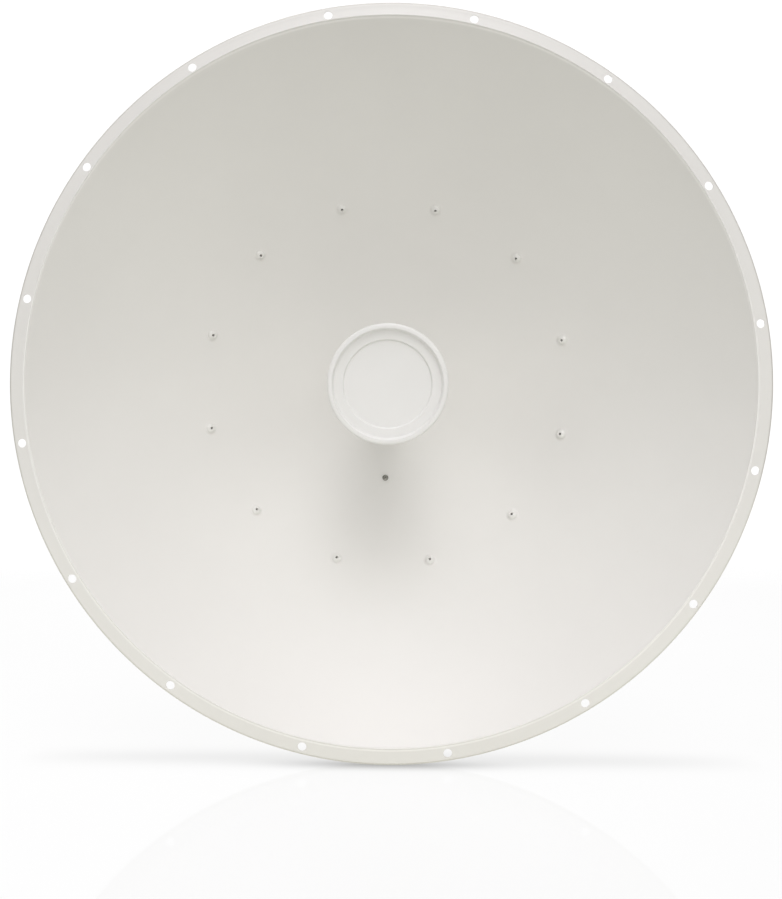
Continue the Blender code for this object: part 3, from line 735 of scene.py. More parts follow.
# Plated steel is bright where it is rubbed and dull in between, with fine marks from the rack.
rubbed_edge, given, result = new_effect(
    "rubbed_edge",
    [("Reach", number_kind, 0.0008), ("Break Up", number_kind, 0.5)],
    [("Rub", number_kind)],
)
shape = put(rubbed_edge, "ShaderNodeNewGeometry").outputs["Normal"]
rounded = put(rubbed_edge, "ShaderNodeBevel", Radius=given["Reach"])
rounded.samples = 2
together = reckon_vector(rubbed_edge, "DOT_PRODUCT", shape, rounded.outputs[0])
place = put(rubbed_edge, "ShaderNodeTexCoord").outputs["Object"]
broken = noise(rubbed_edge, place, 240.0, 4.0, 0.6)
lost = reckon(rubbed_edge, "MULTIPLY", between(rubbed_edge, broken, 0.65, 0.35), given["Break Up"])
edge = between(rubbed_edge, together, 0.995, 0.90)
kept = reckon(rubbed_edge, "SUBTRACT", 1.0, lost)
wire(rubbed_edge, reckon(rubbed_edge, "MULTIPLY", edge, kept), result["Rub"])

metal_grain, given, result = new_effect(
    "metal_grain",
    [
        ("Metal", colour_kind, (0.5, 0.5, 0.5, 1)),
        ("Tarnish", colour_kind, (0.3, 0.3, 0.3, 1)),
        ("Tarnishing", number_kind, 0.5),
        ("Gloss Loss", number_kind, 0.35),
        ("Grit", number_kind, 0.2),
        ("Grit Scale", number_kind, 900.0),
    ],
    [("Colour", colour_kind), ("Roughness", number_kind), ("Normal", vector_kind)],
)
place = put(metal_grain, "ShaderNodeTexCoord").outputs["Object"]
clouds = noise(metal_grain, place, 90.0, 5.0, 0.65)
marks = noise(metal_grain, place, given["Grit Scale"], 3.0, 0.6)
tarnished = reckon(metal_grain, "MULTIPLY", between(metal_grain, clouds, 0.35, 0.70), given["Tarnishing"])
wire(metal_grain, blend_colours(metal_grain, tarnished, given["Metal"], given["Tarnish"]), result["Colour"])
matted = reckon(metal_grain, "MULTIPLY_ADD", tarnished, 0.35, given["Gloss Loss"])
uneven = between(metal_grain, marks, 0.2, 0.8, -0.06, 0.06)
wire(metal_grain, reckon(metal_grain, "ADD", matted, uneven), result["Roughness"])
gritty = put(metal_grain, "ShaderNodeBump", Strength=given["Grit"], Distance=0.00008, Height=marks)
wire(metal_grain, gritty.outputs["Normal"], result["Normal"])


def metal(name, colour, tarnish, tarnishing, gloss_loss, grit, grit_scale, rub_colour=None):
    made, shader, tree = new_material(name, colour)
    grain = use_effect(
        tree,
        metal_grain,
        Metal=colour,
        Tarnish=tarnish,
        Tarnishing=tarnishing,
        Gloss_Loss=gloss_loss,
        Grit=grit,
        Grit_Scale=grit_scale,
    )
    surface = grain["Colour"]
    if rub_colour:
        rub = use_effect(tree, rubbed_edge, Reach=0.0006, Break_Up=0.6)["Rub"]
        surface = blend_colours(tree, rub, surface, rub_colour)
    put_on(tree, grain, shader, surface)
    shader.inputs["Metallic"].default_value = 1.0
    return made


zinc_steel = metal(
    "zinc_plated_steel", (0.52, 0.53, 0.54, 1), (0.30, 0.29, 0.26, 1), 0.6, 0.28, 0.25, 700.0,
    rub_colour=(0.66, 0.67, 0.68, 1),
)

dark_steel = metal(
    "dark_phosphated_steel", (0.26, 0.26, 0.24, 1), (0.13, 0.127, 0.11, 1), 0.35, 0.08, 0.15, 700.0,
    rub_colour=(0.50, 0.50, 0.48, 1),
)

foot, lean = on_bowl(-math.pi / 2, -screw_z)
socket_floor = screw_washer + screw_socket_floor
outline = [(0, socket_floor), (screw_socket_r, socket_floor)]
outline += [(screw_socket_r, screw_washer + screw_head - 0.0002)]
outline += [(screw_socket_r + 0.0003, screw_washer + screw_head)]
for step in range(1, 7):
    angle = math.pi / 2 * step / 6
    radius = screw_socket_r + 0.0003 + (screw_head_r - screw_socket_r - 0.0003) * math.sin(angle)
    outline.append((radius, screw_washer + screw_head * (0.25 + 0.75 * math.cos(angle))))
outline += [(screw_head_r, screw_washer), (screw_shank_r, screw_washer)]
outline += [(screw_shank_r, 0.0005 - screw_end), (screw_shank_r - 0.0005, -screw_end), (0, -screw_end)]
earth_screw = turn("earth_screw", outline, 36)
set_down(earth_screw, foot, lean)
smooth(earth_screw, 32)
hand_over(earth_screw, dark_steel)


def washer(name, hole_r, outer_r, thickness, edge=0.0002):
    """A flat washer that lies on its underside, its middle on Z."""
    outline = [(hole_r, 0), (hole_r, thickness), (outer_r - edge, thickness)]
    outline += [(outer_r, thickness - edge), (outer_r, edge), (outer_r - edge, 0), (hole_r, 0)]
    made = turn(name, outline, 40)
    smooth(made, 32)
    return made


screw_washer_ring = washer("earth_screw_washer", screw_shank_r + 0.0002, screw_washer_r, screw_washer)
set_down(screw_washer_ring, foot, lean)
hand_over(screw_washer_ring, dark_steel)


def hexagon(name, corner_r, depth, bore_r=None, washer_face=0.0):
    """A hexagon from Z = 0 up, its corners turned down in the lathe, bored through if it is a nut."""
    bpy.ops.object.select_all(action="DESELECT")
    bpy.ops.mesh.primitive_cylinder_add(
        vertices=6, radius=corner_r, depth=depth, location=(0, 0, depth / 2)
    )
    made = bpy.context.object
    made.name = name
    flat_r = corner_r * math.cos(math.pi / 6)
    shave = (corner_r - flat_r) * math.tan(math.radians(30))
    outline = [(0, depth), (flat_r * 0.97, depth), (corner_r * 1.02, depth - shave * 1.25)]
    if bore_r:
        outline += [(corner_r * 1.02, shave * 1.25), (flat_r * 0.97, 0), (0, 0)]
    else:
        outline += [(corner_r * 1.02, 0), (0, 0)]
    fix_place(made)
    cut_away(made, turn("lathe", outline, 48), "INTERSECT")
    if bore_r:
        outline = [(0, depth * 1.2), (bore_r * 1.25, depth * 1.2), (bore_r * 1.25, depth)]
        outline += [(bore_r, depth - bore_r * 0.22), (bore_r, bore_r * 0.22), (bore_r * 1.25, 0)]
        outline += [(bore_r * 1.25, -depth * 0.2), (0, -depth * 0.2)]
        cut_away(made, turn("drill", outline, 32))
    smooth(made, 25)
    return made


screw_nut = hexagon("earth_screw_nut", screw_nut_r, screw_nut_height, screw_shank_r)
out = Vector((0, 0, 1))
out.rotate(lean)
set_down(screw_nut, foot - out * (reflector_sheet + screw_nut_height + 0.0002), lean)
hand_over(screw_nut, dark_steel)

# Feed cap
# The moulded plastic cap that closes the feed: a raised lip, and inside it two sloping steps down
# to a flat disc. The middle of the disc stays bare.

cap_height = -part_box("feed_cap")[0].y
cap_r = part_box("feed_cap")[1].x
cap_depth = 0.033
cap_lip_inner_r = 0.0762
cap_disc_r = 0.0615
cap_first_step = 0.0084
cap_first_slope = 0.0025
cap_second_step = 0.0117
cap_second_slope = 0.0015
cap_edge_r = 0.0035
cap_heel_r = 0.003

moulded_skin, given, result = new_effect(
    "moulded_skin",
    [("Plastic", colour_kind, (0.8, 0.8, 0.8, 1)), ("Gloss Loss", number_kind, 0.35)],
    [("Colour", colour_kind), ("Roughness", number_kind), ("Normal", vector_kind)],
)
place = put(moulded_skin, "ShaderNodeTexCoord").outputs["Object"]
flow = noise(moulded_skin, place, 14.0, 3.0)
satin = noise(moulded_skin, place, 1800.0, 1.0)
handling = noise(moulded_skin, place, 60.0, 5.0, 0.65)
toned = scaled(moulded_skin, given["Plastic"], between(moulded_skin, flow, 0.3, 0.7, 0.985, 1.01))
wire(moulded_skin, toned, result["Colour"])
rubbed = between(moulded_skin, handling, 0.3, 0.7, -0.05, 0.06)
wire(moulded_skin, reckon(moulded_skin, "ADD", given["Gloss Loss"], rubbed), result["Roughness"])
satin_bump = put(moulded_skin, "ShaderNodeBump", Strength=0.2, Distance=0.00003, Height=satin)
wire(moulded_skin, satin_bump.outputs["Normal"], result["Normal"])


def moulded(name, plastic, gloss_loss):
    made, shader, tree = new_material(name, plastic)
    skin = use_effect(tree, moulded_skin, Plastic=plastic, Gloss_Loss=gloss_loss)
    put_on(tree, skin, shader)
    return made


feed_white = moulded("feed_white_plastic", (0.82, 0.815, 0.80, 1), 0.34)


def turned_part(name, outline, steps, finish, node):
    """A finished turned piece of the feed, its height out of the dish's front."""
    made = turn(name, outline, steps)
    face_front(made)
    smooth(made, 30)
    hand_over(made, finish, node)


disc_height = cap_height - cap_second_step
step_height = cap_height - cap_first_step
outline = [(0, disc_height), (cap_disc_r * 0.5, disc_height)]
for foot_r, slope, low_height, high_height in (
    (cap_disc_r, cap_second_slope, disc_height, step_height),
    (cap_lip_inner_r, cap_first_slope, step_height, cap_height),
):
    toe = foot_r - slope / 2
    shoulder_r = foot_r + slope / 2
    outline += [(toe - 0.0008, low_height), (toe - 0.0002, low_height), (toe + 0.0001, low_height + 0.0003)]
    outline += [(shoulder_r - 0.0001, high_height - 0.0004), (shoulder_r + 0.0003, high_height)]
    outline.append((shoulder_r + 0.0009, high_height))
outline.append(((cap_lip_inner_r + cap_r) / 2, cap_height))
outline += bend_round((cap_r - cap_edge_r, cap_height - cap_edge_r), cap_edge_r, 90, 0, 8)
heel = (cap_r - 0.0008 - cap_heel_r, cap_height - cap_depth + cap_heel_r)
outline += bend_round(heel, cap_heel_r, 0, -90, 6)
outline.append((0, cap_height - cap_depth))
turned_part("feed_cap_moulding", outline, 160, feed_white, "feed_cap")

# Feed cone and tube
# The radome behind the cap: a plastic cone that narrows to a tube round the waveguide. The tube
# has a moulded band at each end.

cone_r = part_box("feed_cone")[1].x
cone_rim = 0.005
cone_end_r = 0.029
cone_curve = 1.8
tube_r = 0.026
tube_taper = 0.0015
band_rise = 0.0008
band_width = 0.006


def heights_of(node):
    """The front and the rear of a CAD node, as heights in front of the pole face."""
    low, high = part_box(node)
    return -low.y, -high.y


front, rear = heights_of("feed_cone")
outline = [(0, front), (cone_r - 0.001, front), (cone_r, front - 0.001), (cone_r, front - cone_rim)]
cone_length = front - cone_rim - rear
for step in range(1, 19):
    along = step / 18
    radius = cone_end_r + (cone_r - 0.0012 - cone_end_r) * (1 - along) ** cone_curve
    outline.append((radius, front - cone_rim - 0.0006 - (cone_length - 0.0006) * along))
outline.append((0, rear))
turned_part("feed_cone_moulding", outline, 128, feed_white, "feed_cone")

front, rear = heights_of("feed_tube")
outline = [(0, front), (tube_r, front)]
for middle in (front - 0.010, rear + 0.012):
    radius = tube_r + tube_taper * (front - middle) / (front - rear)
    half_band = band_width / 2
    outline += [(radius, middle + half_band), (radius + band_rise, middle + half_band - band_rise)]
    outline += [(radius + band_rise, middle - half_band + band_rise), (radius, middle - half_band)]
outline += [(tube_r + tube_taper, rear), (0, rear)]
turned_part("feed_tube_moulding", outline, 96, feed_white, "feed_tube")

# Feed flange
# The foot of the feed: a round plastic flange on the hub with a boss for the tube, four ribs
# between them, and four screws that go through the hub into the collar behind.

feed_flange_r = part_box("feed_flange")[1].x
feed_flange_depth = 0.006
feed_boss_r = 0.034
feed_fillet = 0.003
rib_thickness = 0.0035
flange_screw_circle_r = 0.0435
flange_screw_r = 0.0036
flange_screw_head = 0.0024

front, rear = heights_of("feed_flange")
ledge = rear + feed_flange_depth
outline = [(0, front), (feed_boss_r - 0.0016, front)]
outline += bend_round((feed_boss_r - 0.0016, front - 0.0016), 0.0016, 90, 0, 4)
outline += bend_round((feed_boss_r + feed_fillet, ledge + feed_fillet), feed_fillet, 180, 270, 5)
outline += bend_round((feed_flange_r - 0.0012, ledge - 0.0012), 0.0012, 90, 0, 4)
outline += [(feed_flange_r, rear), (0, rear)]
turned_part("feed_flange_moulding", outline, 96, feed_white, "feed_flange")


def block(name, size, middle):
    """A plain block that is still to be shaped."""
    bpy.ops.object.select_all(action="DESELECT")
    bpy.ops.mesh.primitive_cube_add(size=1, location=middle)
    made = bpy.context.object
    made.name = name
    made.scale = size
    fix_place(made)
    return made


rib_height = 0.75 * (front - ledge)
rib_reach = feed_flange_r - 0.002 - feed_boss_r + 0.0015
rib_middle = (feed_boss_r - 0.0015 + rib_reach / 2, 0, ledge + rib_height / 2)
flange_rib = block("flange_rib", (rib_reach, rib_thickness, rib_height), rib_middle)
pick_points(flange_rib, lambda at: at.x > feed_boss_r + 0.005 and at.z > ledge + rib_height / 2)
bpy.ops.transform.translate(value=(0, 0, -0.86 * rib_height))
bpy.ops.mesh.select_all(action="SELECT")
bpy.ops.mesh.bevel(offset=0.0006, segments=2)
bpy.ops.object.mode_set(mode="OBJECT")
smooth(flange_rib, 40)
for quarter in range(4):
    round_feed = (0, 0, math.pi / 4 + math.pi / 2 * quarter)
    rib = copy_of(flange_rib, f"feed_flange_rib_{quarter + 1}", (0, 0, 0), round_feed)
    face_front(rib)
    hand_over(rib, feed_white)
put_away(flange_rib)


def pan_screw(name, head_r, head_height, socket_r):
    """A pan head screw that sits on Z = 0, with a round edge and a socket for the driver."""
    outline = [(0, 0.35 * head_height), (socket_r, 0.35 * head_height)]
    outline += [(socket_r, head_height - 0.0002), (socket_r + 0.0002, head_height)]
    crown_start = head_r - 0.6 * head_height
    outline += bend_round((crown_start, 0.4 * head_height), 0.6 * head_height, 90, 0, 5)
    outline += [(head_r, 0), (0, 0)]
    made = turn(name, outline, 32)
    smooth(made, 32)
    return made


def fit_steel(pattern, name, place, lean, node=None):
    """A zinc plated copy of a screw, bolt, nut or washer, in its place."""
    hand_over(copy_of(pattern, name, place, lean), zinc_steel, node)


screw_pattern = pan_screw("screw_pattern", flange_screw_r, flange_screw_head, 0.0014)
for quarter in range(4):
    angle = math.pi / 2 * quarter
    at = (flange_screw_circle_r * math.cos(angle), -ledge, flange_screw_circle_r * math.sin(angle))
    fit_steel(screw_pattern, f"feed_flange_screw_{quarter + 1}", at, (math.pi / 2, 0, 0))

# Feed collar and block
# Behind the hub a cast aluminium collar holds the feed. The block behind it splits the two
# polarisations: a casting with a shallow panel on each side, under four screws.

collar_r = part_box("feed_collar")[1].x
collar_depth = 0.010
collar_hub_r = 0.036
collar_clearance = 0.0006
block_edge_r = 0.005
panel_inset = 0.009
panel_depth = 0.0012
panel_screw_r = 0.0028

cast_aluminium = metal(
    "cast_aluminium", (0.58, 0.585, 0.59, 1), (0.40, 0.40, 0.39, 1), 0.7, 0.46, 0.7, 1400.0,
    rub_colour=(0.68, 0.685, 0.69, 1),
)

front, rear = heights_of("feed_collar")
seat = hub_height - reflector_sheet - 0.0003
neck_r = hub_hole_r - collar_clearance
outline = [(0, front), (neck_r - 0.0006, front), (neck_r, front - 0.0006), (neck_r, seat)]
outline += [(collar_r - 0.0006, seat), (collar_r, seat - 0.0006)]
outline += bend_round((collar_r - 0.0015, seat - collar_depth + 0.0015), 0.0015, 0, -90, 4)
outline += bend_round((collar_hub_r + 0.002, seat - collar_depth - 0.002), 0.002, 90, 180, 4)
outline += bend_round((collar_hub_r - 0.0008, rear + 0.0008), 0.0008, 0, -90, 3)
outline.append((0, rear))
turned_part("feed_collar_casting", outline, 96, cast_aluminium, "feed_collar")
for quarter in range(4):
    angle = math.pi / 2 * quarter
    at = (
        flange_screw_circle_r * math.cos(angle),
        -(seat - collar_depth),
        flange_screw_circle_r * math.sin(angle),
    )
    fit_steel(screw_pattern, f"feed_collar_screw_{quarter + 1}", at, (-math.pi / 2, 0, 0))
put_away(screw_pattern)

block_low, block_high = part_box("feed_block")
block_size = block_high - block_low
block_middle = (block_low + block_high) / 2
feed_block = block("feed_block_casting", block_size, block_middle)
bpy.ops.object.mode_set(mode="EDIT")
bpy.ops.mesh.select_mode(type="FACE")
bpy.ops.mesh.select_all(action="DESELECT")
bpy.ops.object.mode_set(mode="OBJECT")
for face in feed_block.data.polygons:
    face.select = abs(face.normal.x) > 0.9
bpy.ops.object.mode_set(mode="EDIT")
bpy.ops.mesh.inset(thickness=panel_inset, use_individual=True)
bpy.ops.mesh.inset(thickness=0.0008, depth=-panel_depth, use_individual=True)
bpy.ops.mesh.select_mode(type="EDGE")
bpy.ops.mesh.select_all(action="DESELECT")
bpy.ops.object.mode_set(mode="OBJECT")
block_points = feed_block.data.vertices


def on_block_corner(at):
    return all(
        min(abs(at[axis] - block_low[axis]), abs(at[axis] - block_high[axis])) < 0.00001
        for axis in range(3)
    )


for edge in feed_block.data.edges:
    edge.select = all(on_block_corner(block_points[end].co) for end in edge.vertices)
bpy.ops.object.mode_set(mode="EDIT")
bpy.ops.mesh.bevel(offset=block_edge_r, segments=5)
bpy.ops.object.mode_set(mode="OBJECT")
smooth(feed_block, 30)
hand_over(feed_block, cast_aluminium, "feed_block")

screw_pattern = pan_screw("screw_pattern", panel_screw_r, 0.0018, 0.0012)
for side, hand in ((-1, "left"), (1, "right")):
    for number, (across, up) in enumerate(((-1, -1), (-1, 1), (1, -1), (1, 1)), 1):
        at = (
            side * block_size.x / 2,
            block_middle.y + across * (block_size.y / 2 - panel_inset / 2),
            up * (block_size.z / 2 - panel_inset / 2),
        )
        outward = (0, side * math.pi / 2, 0)
        fit_steel(screw_pattern, f"feed_block_screw_{hand}_{number}", at, outward)

# Coaxial ports
# Two threaded ports look down out of the block, one for each polarisation. They are nickel plated
# brass, with a white insulator and a gold plated pin in the middle of the socket.

port_r = 0.008
port_seat = 0.003
port_neck = 0.005
port_wall = 0.002
port_socket = 0.009
port_pitch = 0.0011
port_groove = 0.0005
insulator_r = 0.0030
insulator_tip_r = 0.0014
insulator_length = 0.0038
port_pin_r = 0.0009
port_pin_length = 0.0075

port_nickel = metal(
    "port_nickel", (0.64, 0.61, 0.53, 1), (0.42, 0.38, 0.30, 1), 0.5, 0.24, 0.15, 900.0,
    rub_colour=(0.74, 0.71, 0.64, 1),
)
port_white = moulded("port_white_insulator", (0.78, 0.78, 0.76, 1), 0.42)
port_gold = metal(
    "port_gold", (0.83, 0.61, 0.26, 1), (0.60, 0.42, 0.18, 1), 0.4, 0.22, 0.1, 900.0
)


def thread(radius, groove, start, end, pitch):
    """The outline of a threaded stretch, crest and root by turns, from one height to another."""
    turns = max(1, round(abs(end - start) / pitch))
    stride = (end - start) / turns
    points = []
    for number in range(turns):
        points.append((radius - groove, start + stride * number))
        points.append((radius, start + stride * (number + 0.35)))
        points.append((radius, start + stride * (number + 0.65)))
    points.append((radius - groove, end))
    return points


for side, hand in ((-1, "left"), (1, "right")):
    port_low, port_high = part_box(f"rf_port_{hand}")
    port_length = port_high.z - port_low.z
    at = ((port_low.x + port_high.x) / 2, (port_low.y + port_high.y) / 2, port_high.z)
    seat_r = port_r + port_wall
    socket_r = port_r - port_wall
    barrel = [(0, 0), (seat_r, 0), (seat_r, -port_seat + 0.0004), (seat_r - 0.0004, -port_seat)]
    barrel += [(port_r - 0.0008, -port_seat), (port_r - 0.0008, -port_seat - port_neck)]
    barrel += thread(port_r, port_groove, -port_seat - port_neck, -port_length + 0.0006, port_pitch)
    barrel += [(port_r - 0.0008, -port_length), (socket_r, -port_length)]
    barrel += [(socket_r, -port_length + port_socket), (0, -port_length + port_socket)]
    bottom = -port_length + port_socket
    insulator = [(0, bottom - 0.00002), (insulator_r, bottom - 0.00002)]
    insulator += [(insulator_r, bottom - insulator_length + 0.0003)]
    insulator += [(insulator_tip_r, bottom - insulator_length), (0, bottom - insulator_length)]
    tip = bottom - port_pin_length
    pin = [(0, bottom - insulator_length - 0.0001), (port_pin_r, bottom - insulator_length - 0.0001)]
    pin += [(port_pin_r, tip + 0.0008), (port_pin_r - 0.0003, tip + 0.0001), (0, tip)]
    for name, outline, steps, finish, slot, node in (
        ("barrel", barrel, 40, port_nickel, "port_metal", f"rf_port_{hand}"),
        ("insulator", insulator, 28, port_white, "plastic", None),
        ("pin", pin, 20, port_gold, "port_metal", None),
    ):
        piece = turn(f"rf_port_{hand}_{name}", outline, steps)
        set_down(piece, at)
        smooth(piece, 30)
        hand_over(piece, finish, node)

# Radio plate
# A flat steel plate on the back of the block, where a radio unit hooks into two slots. Four pan
# head screws hold it.

plate_edge = 0.0004
plate_screw_spread = 0.027

# The bracket coat's corners also get the skin's painted shade, along with its dust.
bracket_dust_and_shade = (0.44, 0.43, 0.38, 1)
bracket_white, shader, tree = new_material("bracket_powder_coat", (0.74, 0.74, 0.72, 1))
skin = use_effect(
    tree,
    powder_skin,
    Coat=(0.74, 0.74, 0.72, 1),
    Dust=bracket_dust_and_shade,
    Dusting=0.22,
    Gloss_Loss=0.44,
    Pebble=0.45,
)
rub = use_effect(tree, rubbed_edge, Reach=0.0009, Break_Up=0.9)["Rub"]
thin_coat = reckon(tree, "MULTIPLY", rub, 0.35)
worn = blend_colours(tree, thin_coat, skin["Colour"], (0.50, 0.50, 0.49, 1))
put_on(tree, skin, shader, worn)


def finished_copy(node, name, edge, steps=2):
    """A copy of a CAD plate: its loose triangles are merged into whole faces and its edges eased."""
    made = bpy.data.objects.new(name, cad_nodes[node].data.copy())
    bpy.context.scene.collection.objects.link(made)
    take(made)
    bpy.ops.object.mode_set(mode="EDIT")
    bpy.ops.mesh.select_all(action="SELECT")
    bpy.ops.mesh.remove_doubles(threshold=0.000005)
    bpy.ops.mesh.dissolve_limited(angle_limit=math.radians(0.3))
    bpy.ops.object.mode_set(mode="OBJECT")
    if made.data.has_custom_normals:
        bpy.ops.mesh.customdata_custom_splitnormals_clear()
    eased = made.modifiers.new("eased", "BEVEL")
    eased.width = edge
    eased.segments = steps
    eased.limit_method = "ANGLE"
    eased.angle_limit = math.radians(40)
    eased.miter_outer = "MITER_ARC"
    bpy.ops.object.modifier_apply(modifier="eased")
    smooth(made, 32)
    return made


radio_plate = finished_copy("radio_plate", "radio_plate_pressing", plate_edge)
hand_over(radio_plate, bracket_white, "radio_plate")
plate_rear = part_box("radio_plate")[1].y
for number, (across, up) in enumerate(((-1, -1), (-1, 1), (1, -1), (1, 1)), 1):
    at = (across * plate_screw_spread, plate_rear, up * plate_screw_spread)
    fit_steel(screw_pattern, f"radio_plate_screw_{number}", at, (-math.pi / 2, 0, 0))
put_away(screw_pattern)

# Cheeks
# Two folded side plates stand on the ring's flat face. Each foot is held by two hexagon bolts
# with washers. The curved slot in each lets the dish tilt about the lower pivot bolts.

cheek_edge = 0.0007
foot_bolt_x = 0.112
foot_bolt_z = 0.095
foot_bolt_corner_r = 0.0075
foot_bolt_head = 0.0053
foot_washer_r = 0.0084
foot_washer = 0.0016
foot_shank_r = 0.004
foot_shank = 0.018
foot_thread = 0.016
foot_pitch = 0.00125
foot_nut = 0.0065
cheek_sheet = 0.004
touch_gap = 0.00005

for hand in ("left", "right"):
    cheek = finished_copy(f"cheek_{hand}", f"cheek_{hand}_folding", cheek_edge)
    hand_over(cheek, bracket_white, f"cheek_{hand}")


def hex_bolt(name, corner_r, head_height, shank_r, shank_length, thread_length, pitch, flange_r=0.0):
    """A hexagon bolt with the underside of its head on Z = 0 and its shank down from there."""
    rise = 0.0
    parts = []
    if flange_r:
        rise = 0.22 * head_height
        outline = [(0, rise), (corner_r * 0.95, rise * 1.25), (flange_r - 0.0006, 0.55 * rise)]
        outline += [(flange_r, 0.35 * rise), (flange_r - 0.0002, 0), (0, 0)]
        parts.append(turn("flange", outline, 48))
    head = hexagon(name, corner_r, head_height - rise)
    head.location = (0, 0, rise)
    fix_place(head)
    groove = 0.61 * pitch
    end = -shank_length
    outline = [(0, 0.0005), (shank_r, 0.0005)]
    if thread_length < shank_length:
        outline.append((shank_r, end + thread_length + pitch))
    outline += thread(shank_r, groove, end + thread_length, end + 0.5 * pitch, pitch)
    outline += [(shank_r - 1.2 * groove, end), (0, end)]
    parts.append(turn("shank", outline, 32))
    whole = gather([head] + parts)
    whole.name = name
    smooth(whole, 28)
    return whole


foot_rear = -(ring_face_height - 0.0003) + cheek_sheet
foot_bolt = hex_bolt(
    "foot_bolt", foot_bolt_corner_r, foot_bolt_head, foot_shank_r, foot_shank, foot_thread, foot_pitch
)
foot_washer_ring = washer("foot_washer", foot_shank_r + 0.0003, foot_washer_r, foot_washer)
foot_nut_piece = hexagon("foot_nut", foot_bolt_corner_r, foot_nut, foot_shank_r)
rearward = (-math.pi / 2, 0, 0)
forward = (math.pi / 2, 0, 0)
foot_seat = foot_rear + touch_gap
nut_seat = -(ring_face_height + ring_sheet) - touch_gap
for side, hand in ((-1, "left"), (1, "right")):
    for level, name in ((-1, "lower"), (1, "upper")):
        for kind, pattern, y, lean in (
            ("washer", foot_washer_ring, foot_seat, rearward),
            ("bolt", foot_bolt, foot_seat + foot_washer, rearward),
            ("nut", foot_nut_piece, nut_seat, forward),
        ):
            at = (side * foot_bolt_x, y, level * foot_bolt_z)
            fit_steel(pattern, f"foot_{kind}_{name}_{hand}", at, lean)
put_away(foot_bolt, foot_washer_ring, foot_nut_piece)

# Pole bracket
# A heavy folded plate. Its ears run forward between the cheeks, and the saddles of the pole clamps
# lie in two shallow seats across its flat back.

bracket_edge = 0.0008
pole_bracket = finished_copy("pole_bracket", "pole_bracket_folding", bracket_edge)
hand_over(pole_bracket, bracket_white, "pole_bracket")

# Swivel bolts
# Four flange headed bolts through the cheeks and the bracket's ears, with nuts and washers inside:
# two below, that the dish tilts about, and two above, that lock it in the curved slots.

swivel_corner_r = 0.0104
swivel_flange_r = 0.0122
swivel_head = 0.0075
swivel_r = 0.006
swivel_thread = 0.020
swivel_pitch = 0.00175
swivel_washer_r = 0.0115
swivel_washer = 0.0022
swivel_nut = 0.0088
ear_inner = 0.071

swivel_low, swivel_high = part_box("pivot_bolt_right")
swivel_length = swivel_high.x - swivel_low.x - swivel_head
swivel_bolt = hex_bolt(
    "swivel_bolt", swivel_corner_r, swivel_head, swivel_r, swivel_length, swivel_thread, swivel_pitch,
    flange_r=swivel_flange_r,
)
swivel_washer_ring = washer("swivel_washer", swivel_r + 0.0004, swivel_washer_r, swivel_washer)
swivel_nut_piece = hexagon("swivel_nut", swivel_corner_r, swivel_nut, swivel_r)
under_head = swivel_high.x - swivel_head
washer_seat = ear_inner - 0.0001
for kind in ("pivot", "elevation"):
    for side, hand in ((-1, "left"), (1, "right")):
        low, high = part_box(f"{kind}_bolt_{hand}")
        y = (low.y + high.y) / 2
        z = (low.z + high.z) / 2
        outward = (0, side * math.pi / 2, 0)
        inward = (0, -side * math.pi / 2, 0)
        for name, pattern, from_middle, lean, node in (
            (f"bolt_{hand}_threaded", swivel_bolt, under_head, outward, f"{kind}_bolt_{hand}"),
            (f"washer_{hand}", swivel_washer_ring, washer_seat, inward, None),
            (f"nut_{hand}", swivel_nut_piece, washer_seat - swivel_washer, inward, None),
        ):
            fit_steel(pattern, f"{kind}_{name}", (side * from_middle, y, z), lean, node)
put_away(swivel_bolt, swivel_washer_ring, swivel_nut_piece)

# Elevation screw
# A threaded rod sets the tilt: it runs through one round bar between the cheeks and another
# between the bracket's ears, with a nut on each side of each bar.

rod_r = 0.005
rod_pitch = 0.0015
rod_nut_corner_r = 0.0095
rod_nut = 0.0080
bar_r = 0.009
bar_end = 0.0010
bar_clearance = 0.0006
bar_bolt_corner_r = 0.0075
bar_bolt_head = 0.0053
bar_bolt_r = 0.0035
bar_bolt_shank = 0.003
bar_bolt_pitch = 0.00125
bar_washer_hole_r = 0.0042
bar_washer_r = 0.0084
bar_washer = 0.0016

rod_low, rod_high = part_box("elevation_rod")
rod_front, rod_rear = -rod_low.y, -rod_high.y
rod_z = (rod_low.z + rod_high.z) / 2
outline = [(0, rod_front), (rod_r - 0.0012, rod_front)]
outline += thread(rod_r, 0.61 * rod_pitch, rod_front - 0.0008, rod_rear + 0.0008, rod_pitch)
outline += [(rod_r - 0.0012, rod_rear), (0, rod_rear)]
elevation_rod = turn("elevation_rod_threaded", outline, 32)
set_down(elevation_rod, (0, 0, rod_z), forward)
smooth(elevation_rod, 30)
hand_over(elevation_rod, zinc_steel, "elevation_rod")

rod_nut_piece = hexagon("rod_nut", rod_nut_corner_r, rod_nut, rod_r)
for name in ("barrel_front", "barrel_rear"):
    low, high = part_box(name)
    half = high.x
    y = (low.y + high.y) / 2
    outline = [(0, half), (bar_r - bar_end, half), (bar_r, half - bar_end)]
    outline += [(bar_r, 0), (bar_r, bar_end - half), (bar_r - bar_end, -half), (0, -half)]
    bar = turn(f"{name}_turned", outline, 56)
    set_down(bar, (0, y, rod_z), (0, math.pi / 2, 0))
    bpy.ops.object.select_all(action="DESELECT")
    bpy.ops.mesh.primitive_cylinder_add(
        vertices=40, radius=rod_r + 0.0003, depth=4 * bar_r, location=(0, y, rod_z),
        rotation=(math.pi / 2, 0, 0),
    )
    cut_away(bar, bpy.context.object)
    smooth(bar, 30)
    hand_over(bar, zinc_steel, name)
    for lean, side, facing in ((forward, -1, "front"), (rearward, 1, "rear")):
        at = (0, y + side * (bar_r + bar_clearance), rod_z)
        fit_steel(rod_nut_piece, f"{name}_nut_{facing}", at, lean)
put_away(rod_nut_piece)

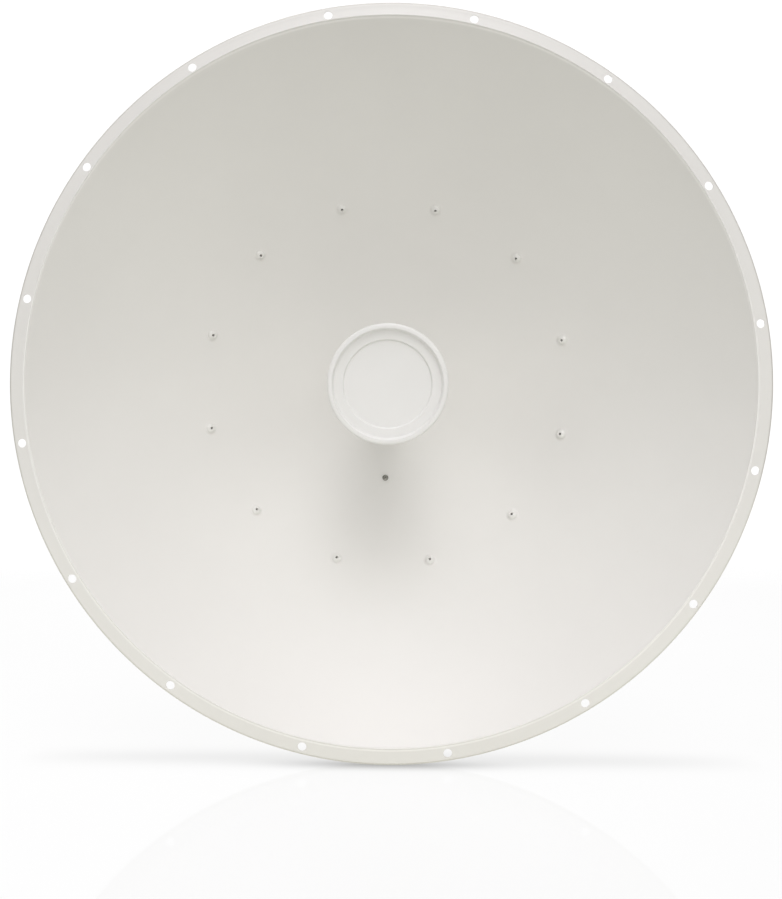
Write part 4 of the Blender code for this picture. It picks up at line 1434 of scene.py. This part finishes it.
bar_bolt = hex_bolt(
    "bar_bolt", bar_bolt_corner_r, bar_bolt_head, bar_bolt_r, bar_bolt_shank, bar_bolt_shank, bar_bolt_pitch
)
bar_washer_ring = washer("bar_washer", bar_washer_hole_r, bar_washer_r, bar_washer)
bar_seat = under_head - 0.0003 + touch_gap
bar_y = (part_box("barrel_front")[0].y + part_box("barrel_front")[1].y) / 2
for side, hand in ((-1, "left"), (1, "right")):
    outward = (0, side * math.pi / 2, 0)
    fit_steel(bar_washer_ring, f"barrel_washer_{hand}", (side * bar_seat, bar_y, rod_z), outward)
    at = (side * (bar_seat + bar_washer), bar_y, rod_z)
    fit_steel(bar_bolt, f"barrel_bolt_{hand}", at, outward)
put_away(bar_bolt, bar_washer_ring)

# Pole clamps
# Two pairs of folded channels with toothed V notches grip the pole. Four long bolts go through
# the bracket, with a nut on each saddle and a washer and nut on each jaw.

clamp_edge = 0.0006
clamp_corner_r = 0.0104
clamp_head = 0.0075
clamp_r = 0.005
clamp_pitch = 0.0015
clamp_nut_corner_r = 0.0098
clamp_nut = 0.0080
clamp_washer_r = 0.0105
clamp_washer = 0.0016
clamp_sheet = 0.004

for level in ("upper", "lower"):
    for kind in ("saddle", "jaw"):
        clamp = finished_copy(f"{kind}_{level}", f"{kind}_{level}_folding", clamp_edge)
        hand_over(clamp, bracket_white, f"{kind}_{level}")

clamp_low, clamp_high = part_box("clamp_bolt_upper_right")
clamp_length = clamp_high.y - clamp_low.y - clamp_head
clamp_bolt = hex_bolt(
    "clamp_bolt", clamp_corner_r, clamp_head, clamp_r, clamp_length, clamp_length - 0.006, clamp_pitch
)
clamp_nut_piece = hexagon("clamp_nut", clamp_nut_corner_r, clamp_nut, clamp_r)
clamp_washer_ring = washer("clamp_washer", clamp_r + 0.0003, clamp_washer_r, clamp_washer)
saddle_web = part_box("saddle_upper")[0].y + clamp_sheet
jaw_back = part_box("jaw_upper")[1].y
for level in ("upper", "lower"):
    for hand in ("left", "right"):
        low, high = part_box(f"clamp_bolt_{level}_{hand}")
        x = (low.x + high.x) / 2
        z = (low.z + high.z) / 2
        name = f"clamp_bolt_{level}_{hand}"
        fit_steel(clamp_bolt, f"{name}_threaded", (x, low.y + clamp_head, z), forward, name)
        for kind, start in (("saddle", saddle_web + 0.0001), ("jaw", jaw_back + 0.0001)):
            corner = f"{level}_{hand}"
            fit_steel(clamp_washer_ring, f"{kind}_washer_{corner}", (x, start, z), rearward)
            fit_steel(clamp_nut_piece, f"{kind}_nut_{corner}", (x, start + clamp_washer, z), rearward)
put_away(clamp_bolt, clamp_nut_piece, clamp_washer_ring)
